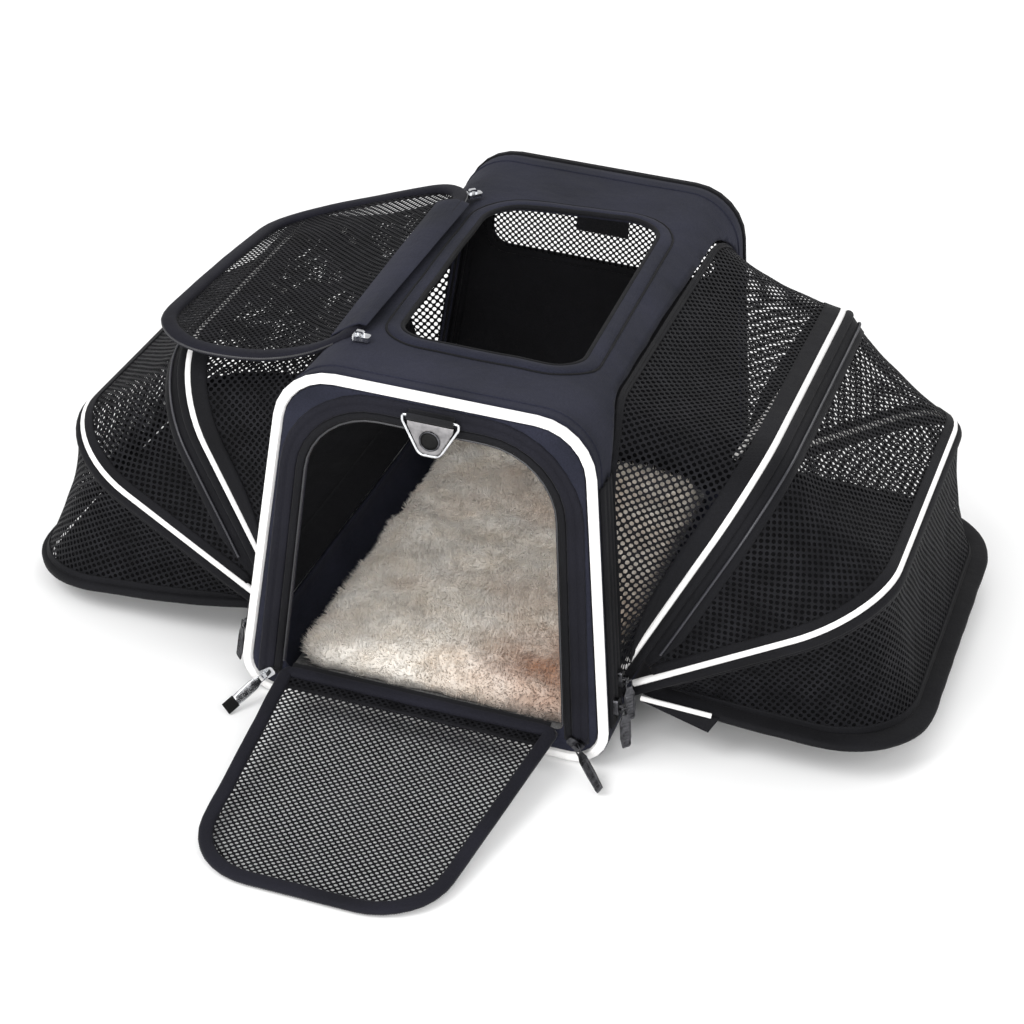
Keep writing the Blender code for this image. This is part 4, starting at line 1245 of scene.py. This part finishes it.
def swell(piece, cap):
    """Inflate a closed piece a little by cloth simulation, no point moving further than cap."""
    scene = bpy.context.scene
    rest = spots_of(piece)
    sim = piece.modifiers.new("swell", "CLOTH")
    sim.settings.use_pressure = True
    sim.settings.uniform_pressure_force = 4.0
    sim.settings.effector_weights.gravity = 0.0
    for step in range(1, 21):
        scene.frame_set(step)
    bake_modifiers(piece)
    scene.frame_set(1)
    moved = spots_of(piece) - rest
    length = np.linalg.norm(moved, axis=1)
    moved *= np.minimum(1, cap / np.maximum(length, 1e-9))[:, None]
    piece.data.vertices.foreach_set("co", (rest + moved).ravel())


def make_pad():
    """The fleece pad: swollen by simulation, then matted, with a pile of fine tufts."""
    low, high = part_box("fleece_pad")
    centre = (low + high) / 2
    pad = put("fleece_pad_body", frame["nodes"]["fleece_pad"].data.copy())
    shrink = Matrix.Diagonal((0.975, 0.985, 0.72, 1.0))
    pad.data.transform(Matrix.Translation(centre) @ shrink @ Matrix.Translation(-centre))
    remesh = pad.modifiers.new("voxels", "REMESH")
    remesh.mode = "VOXEL"
    remesh.voxel_size = 0.006
    bake_modifiers(pad)
    swell(pad, 0.006)
    fine = pad.modifiers.new("fine", "SUBSURF")
    fine.levels = 1
    fine.render_levels = 1
    bake_modifiers(pad)
    pad.data.materials.clear()
    pad.data.materials.append(FLEECE)
    pad.data.shade_smooth()
    spots = spots_of(pad)
    spots[:, 2] += (high.z - 0.0025 - spots[:, 2].max())
    normals = np.array([v.normal[:] for v in pad.data.vertices])
    clumps = 0.0022 * ripple(spots, 30.0) + 0.0014 * ripple(spots, 85.0, 2.0) + 0.0007 * ripple(spots, 210.0)
    spots += normals * clumps[:, None]
    spots[:, 2] = np.maximum(spots[:, 2], low.z)
    spots[:, 0] = np.clip(spots[:, 0], -PAD_HALF, PAD_HALF)
    pad.data.vertices.foreach_set("co", spots.ravel())
    pad.data.update()
    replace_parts(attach(pad, "bag"), "fleece_pad")
    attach(make_pile(pad), "bag")


def make_pile(pad):
    """Fine tufts over the pad's top and sides, leaning in soft swirls."""
    random.seed(PILE_SEED)
    noise.seed_set(PILE_SEED)     # noise_vector takes its offsets from the clock unless it is seeded
    corners = triangles_of(pad.data)
    normal = np.cross(corners[:, 1] - corners[:, 0], corners[:, 2] - corners[:, 0])
    size = np.linalg.norm(normal, axis=1)
    normal /= size[:, None]
    weight = np.where(normal[:, 2] > -0.2, size, 0)
    picks = random.choices(range(len(size)), weights=weight.tolist(), k=TUFTS)
    points, faces = [], []
    for pick in picks:
        a, b = random.random(), random.random()
        if a + b > 1:
            a, b = 1 - a, 1 - b
        root = Vector(corners[pick, 0] + a * (corners[pick, 1] - corners[pick, 0])
                      + b * (corners[pick, 2] - corners[pick, 0]))
        out = Vector(normal[pick])
        swirl = noise.noise_vector(root * 22) * 1.2 + noise.noise_vector(root * 90) * 0.8
        lean = (out + swirl + Vector((0, -0.35, 0.15))).normalized()
        length = random.uniform(0.0030, 0.0062)
        thick = random.uniform(0.00022, 0.00042)
        side = lean.cross(Vector((0.3, 0.5, 0.8))).normalized() * thick
        other = lean.cross(side).normalized() * thick
        base = len(points)
        bend = noise.noise_vector(root * 140) * 0.0016
        points += [root + side, root - side * 0.5 + other * 0.87, root - side * 0.5 - other * 0.87,
                   root + lean * length + bend]
        faces += [(base, base + 1, base + 3), (base + 1, base + 2, base + 3), (base + 2, base, base + 3),
                  (base, base + 2, base + 1)]
    return mesh_piece("fleece_pile", [tuple(p) for p in points], faces, FLEECE)


make_pad()


# ---------------------------------------------------------------- ring, sliders and pulls

def own_frame(joint, node):
    """A hinged plate's pivot, width, hanging direction and outward normal, and its own box in them."""
    pivot, width = np.array(joint["pos_m"]), np.array(joint["axis"], float)
    width /= np.linalg.norm(width)
    spots = spots_of(frame["nodes"][node]) - pivot
    hang = spots.mean(axis=0)
    hang -= width * hang.dot(width)
    hang /= np.linalg.norm(hang)
    out = np.cross(width, hang)
    middle = np.array([0.0, 0.0, 0.13]) - pivot
    if out.dot(middle) > 0:
        width, out = -width, -out
    local = spots @ np.stack([width, hang, out], axis=1)
    return pivot, np.stack([width, hang, out]), local.min(axis=0), local.max(axis=0)


def ring_plate(name, inner, outer, thickness, material, pivot, axes):
    """A flat plate between a hole and an outline, both flat loops with as many points."""
    rows = []
    for t in np.linspace(0, 1, 4):
        flat = inner * (1 - t) + outer * t
        rows.append(pivot + flat[:, :1] * axes[0] + flat[:, 1:2] * axes[1])
    return cloth(name, np.stack(rows, axis=1), thickness, material, wrap=True, round_edges=True)


def around(loop, centre, count=48):
    """A loop's points at evenly turned directions from a centre inside it."""
    dense = spaced(loop, 0.0002, True)
    turn = np.arctan2(dense[:, 1] - centre[1], dense[:, 0] - centre[0])
    order = np.argsort(turn)
    wanted = np.linspace(-math.pi, math.pi, count, endpoint=False)
    return np.stack([np.interp(wanted, turn[order], dense[order, k], period=2 * math.pi)
                     for k in range(2)], axis=1)


def make_pull(word, metal, body, grip=False):
    """A zip pull: a bevelled plate with its slot, a raised field of ribs, and a rubber end or none."""
    pivot, axes, _, high = own_frame(JOINTS[f"{word}_pull_hinge"], f"{word}_pull")
    half, end = high[0], high[1]
    if "wing" in word:
        pivot = pivot + PULL_STAND_OFF * axes[2]
        facing = axes[2] + (0, -1, 0) - axes[1] * axes[1].dot((0, -1, 0))
        facing /= np.linalg.norm(facing)
        axes = np.stack([np.cross(axes[1], facing), axes[1], facing])
    neck = half * 0.62
    edge = outline([(-neck, -0.0006), (-neck, 0.0085), (-half, 0.0115), (-half, end), (half, end),
                    (half, 0.0115), (neck, 0.0085), (neck, -0.0006)],
                   [0.0009, 0.002, 0.002, 0.0018, 0.0018, 0.002, 0.002, 0.0009], arc_steps=4)
    slot = outline([(-0.0020, 0.0006), (-0.0020, 0.0056), (0.0020, 0.0056), (0.0020, 0.0006)],
                   [0.0006] * 4, arc_steps=4)
    centre = (0.0, 0.0034)
    plate = ring_plate(f"{word}_pull_plate", around(slot, centre, 64), around(edge, centre, 64),
                       0.0011, metal, pivot, axes)
    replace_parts(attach(plate, body), f"{word}_pull")
    start = 0.0130
    stop = end - 0.0015

    def at(u, v, out):
        return pivot + u * axes[0] + v * axes[1] + out * axes[2]

    frame_path = [at(u, v, 0.0006) for u, v in spaced(outline(
        [(-half + 0.0011, start), (-half + 0.0011, stop), (half - 0.0011, stop), (half - 0.0011, start)],
        [0.0008] * 4, arc_steps=3), 0.0008, True)]
    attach(cord_tube(f"{word}_pull_frame", frame_path, 0.00045, metal, closed=True), body)
    if grip:
        rings = []
        for v in np.linspace(end - 0.0095, end + 0.0006, 41):
            swell_by = 1 + 0.10 * (math.sin(v * 2 * math.pi / 0.0019) > 0.2)
            section = oval(2 * half + 0.0008, 0.0021 * swell_by, 16, 2.2)
            rings.append([at(u, v, w) for u, w in section])
        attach(loft(f"{word}_pull_grip", np.array(rings), RUBBER), body)
    else:
        bars = []
        for v in np.linspace(start + 0.003, stop - 0.003, 6):
            bars.append([at(u, v, 0.0006) for u in (-half * 0.55, half * 0.55)])
        for index, bar in enumerate(bars):
            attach(cord_tube(f"{word}_pull_rib_{index}", bar, 0.0004, metal), body)


def make_slider(node, metal):
    """A slider's body, smoothed with fine bevels and given its plating."""
    soften(paint(node, metal), 0.0004, 40)


def make_ring():
    """The wire triangle with its plate and snap, hung in a folded webbing tab."""
    pivot, axes, _, high = own_frame(JOINTS["triangle_ring_hinge"], "triangle_ring")
    half, drop = high[0], high[1]
    wire = 0.0011
    edge = half - wire
    loop = outline([(-edge, 0.0), (-edge, 0.0045), (-0.0075, drop - wire), (0.0075, drop - wire),
                    (edge, 0.0045), (edge, 0.0)], [0.0015, 0.003, 0.007, 0.007, 0.003, 0.0015], arc_steps=6)
    path = np.array([pivot + u * axes[0] + v * axes[1] for u, v in loop])
    ring = cord_tube("ring_wire", spaced(path, 0.0012, True), wire, CHROME, closed=True)
    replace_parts(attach(ring, "triangle_ring"), "triangle_ring")
    centre = (0.0, 0.0175)
    turn = np.linspace(-math.pi, math.pi, 48, endpoint=False)
    snap = 0.0072
    hole = np.stack([snap * np.cos(turn), centre[1] + snap * np.sin(turn)], axis=1)
    field = outline([(-edge + 0.0022, 0.0042), (-0.0066, drop - 0.0022), (0.0066, drop - 0.0022),
                     (edge - 0.0022, 0.0042)], [0.0008, 0.006, 0.006, 0.0008], arc_steps=6)
    plate = ring_plate("ring_plate", hole, around(field, centre), 0.0007, STEEL, pivot, axes)
    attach(plate, "triangle_ring")
    lip = np.array([pivot + u * axes[0] + v * axes[1] + 0.0005 * axes[2] for u, v in hole])
    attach(cord_tube("ring_grommet", lip, 0.0008, GUNMETAL, closed=True), "triangle_ring")
    rings = []
    for radius, out in ((0.0067, -0.0006), (0.0067, 0.0002), (0.0058, 0.0009), (0.0040, 0.0013),
                        (0.0018, 0.0015)):
        rings.append([pivot + radius * math.cos(a) * axes[0] + (centre[1] + radius * math.sin(a)) * axes[1]
                      + out * axes[2] for a in turn])
    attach(loft("ring_snap", np.array(rings), RUBBER), "triangle_ring")
    make_ring_tab()


def make_ring_tab():
    """The webbing tab, folded round the ring's bar and sewn up under the piping."""
    low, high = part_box("ring_tab")
    bar = np.array(JOINTS["triangle_ring_hinge"]["pos_m"])
    face = FRONT_Y - 0.0030
    radius = 0.0026
    top = TOP_Z - 0.0125
    turns = np.radians(np.linspace(180, 360, 12))
    fold = [(bar[1] + radius * math.cos(a), bar[2] + radius * math.sin(a)) for a in turns]
    front = [(bar[1] - radius - 0.0002, bar[2] + 0.003), (face - 0.0012, top - 0.004), (face + 0.0002, top)]
    profile = np.array(front[::-1] + fold + [(bar[1] + radius, bar[2] + 0.004)])
    profile = spaced(profile, 0.0008)
    wide = np.linspace(low.x, high.x, 30)
    grid = np.stack([np.stack([np.full(len(profile), x), profile[:, 0], profile[:, 1]], axis=1)
                     for x in wide], axis=1)
    tab = cloth("ring_tab_webbing", grid, 0.0012, WEBBING, round_edges=True)
    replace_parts(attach(tab, "bag"), "ring_tab")


for place in ("front_left", "front_right", "right_wing_lower", "right_wing_upper", "left_wing_lower",
              "left_wing_upper"):
    plating = CHROME if place == "front_left" else GUNMETAL
    make_slider(f"{place}_slider", plating)
    make_pull(place, plating, f"{place}_pull", grip=place == "front_left")
for place in ("lid_front_slider", "lid_back_slider"):
    make_slider(place, CHROME)
make_ring()
paint("base_board", BOARD)
paint("front_frame_wire", LINING)
paint("back_frame_wire", LINING)
paint("back_tab", WEBBING)
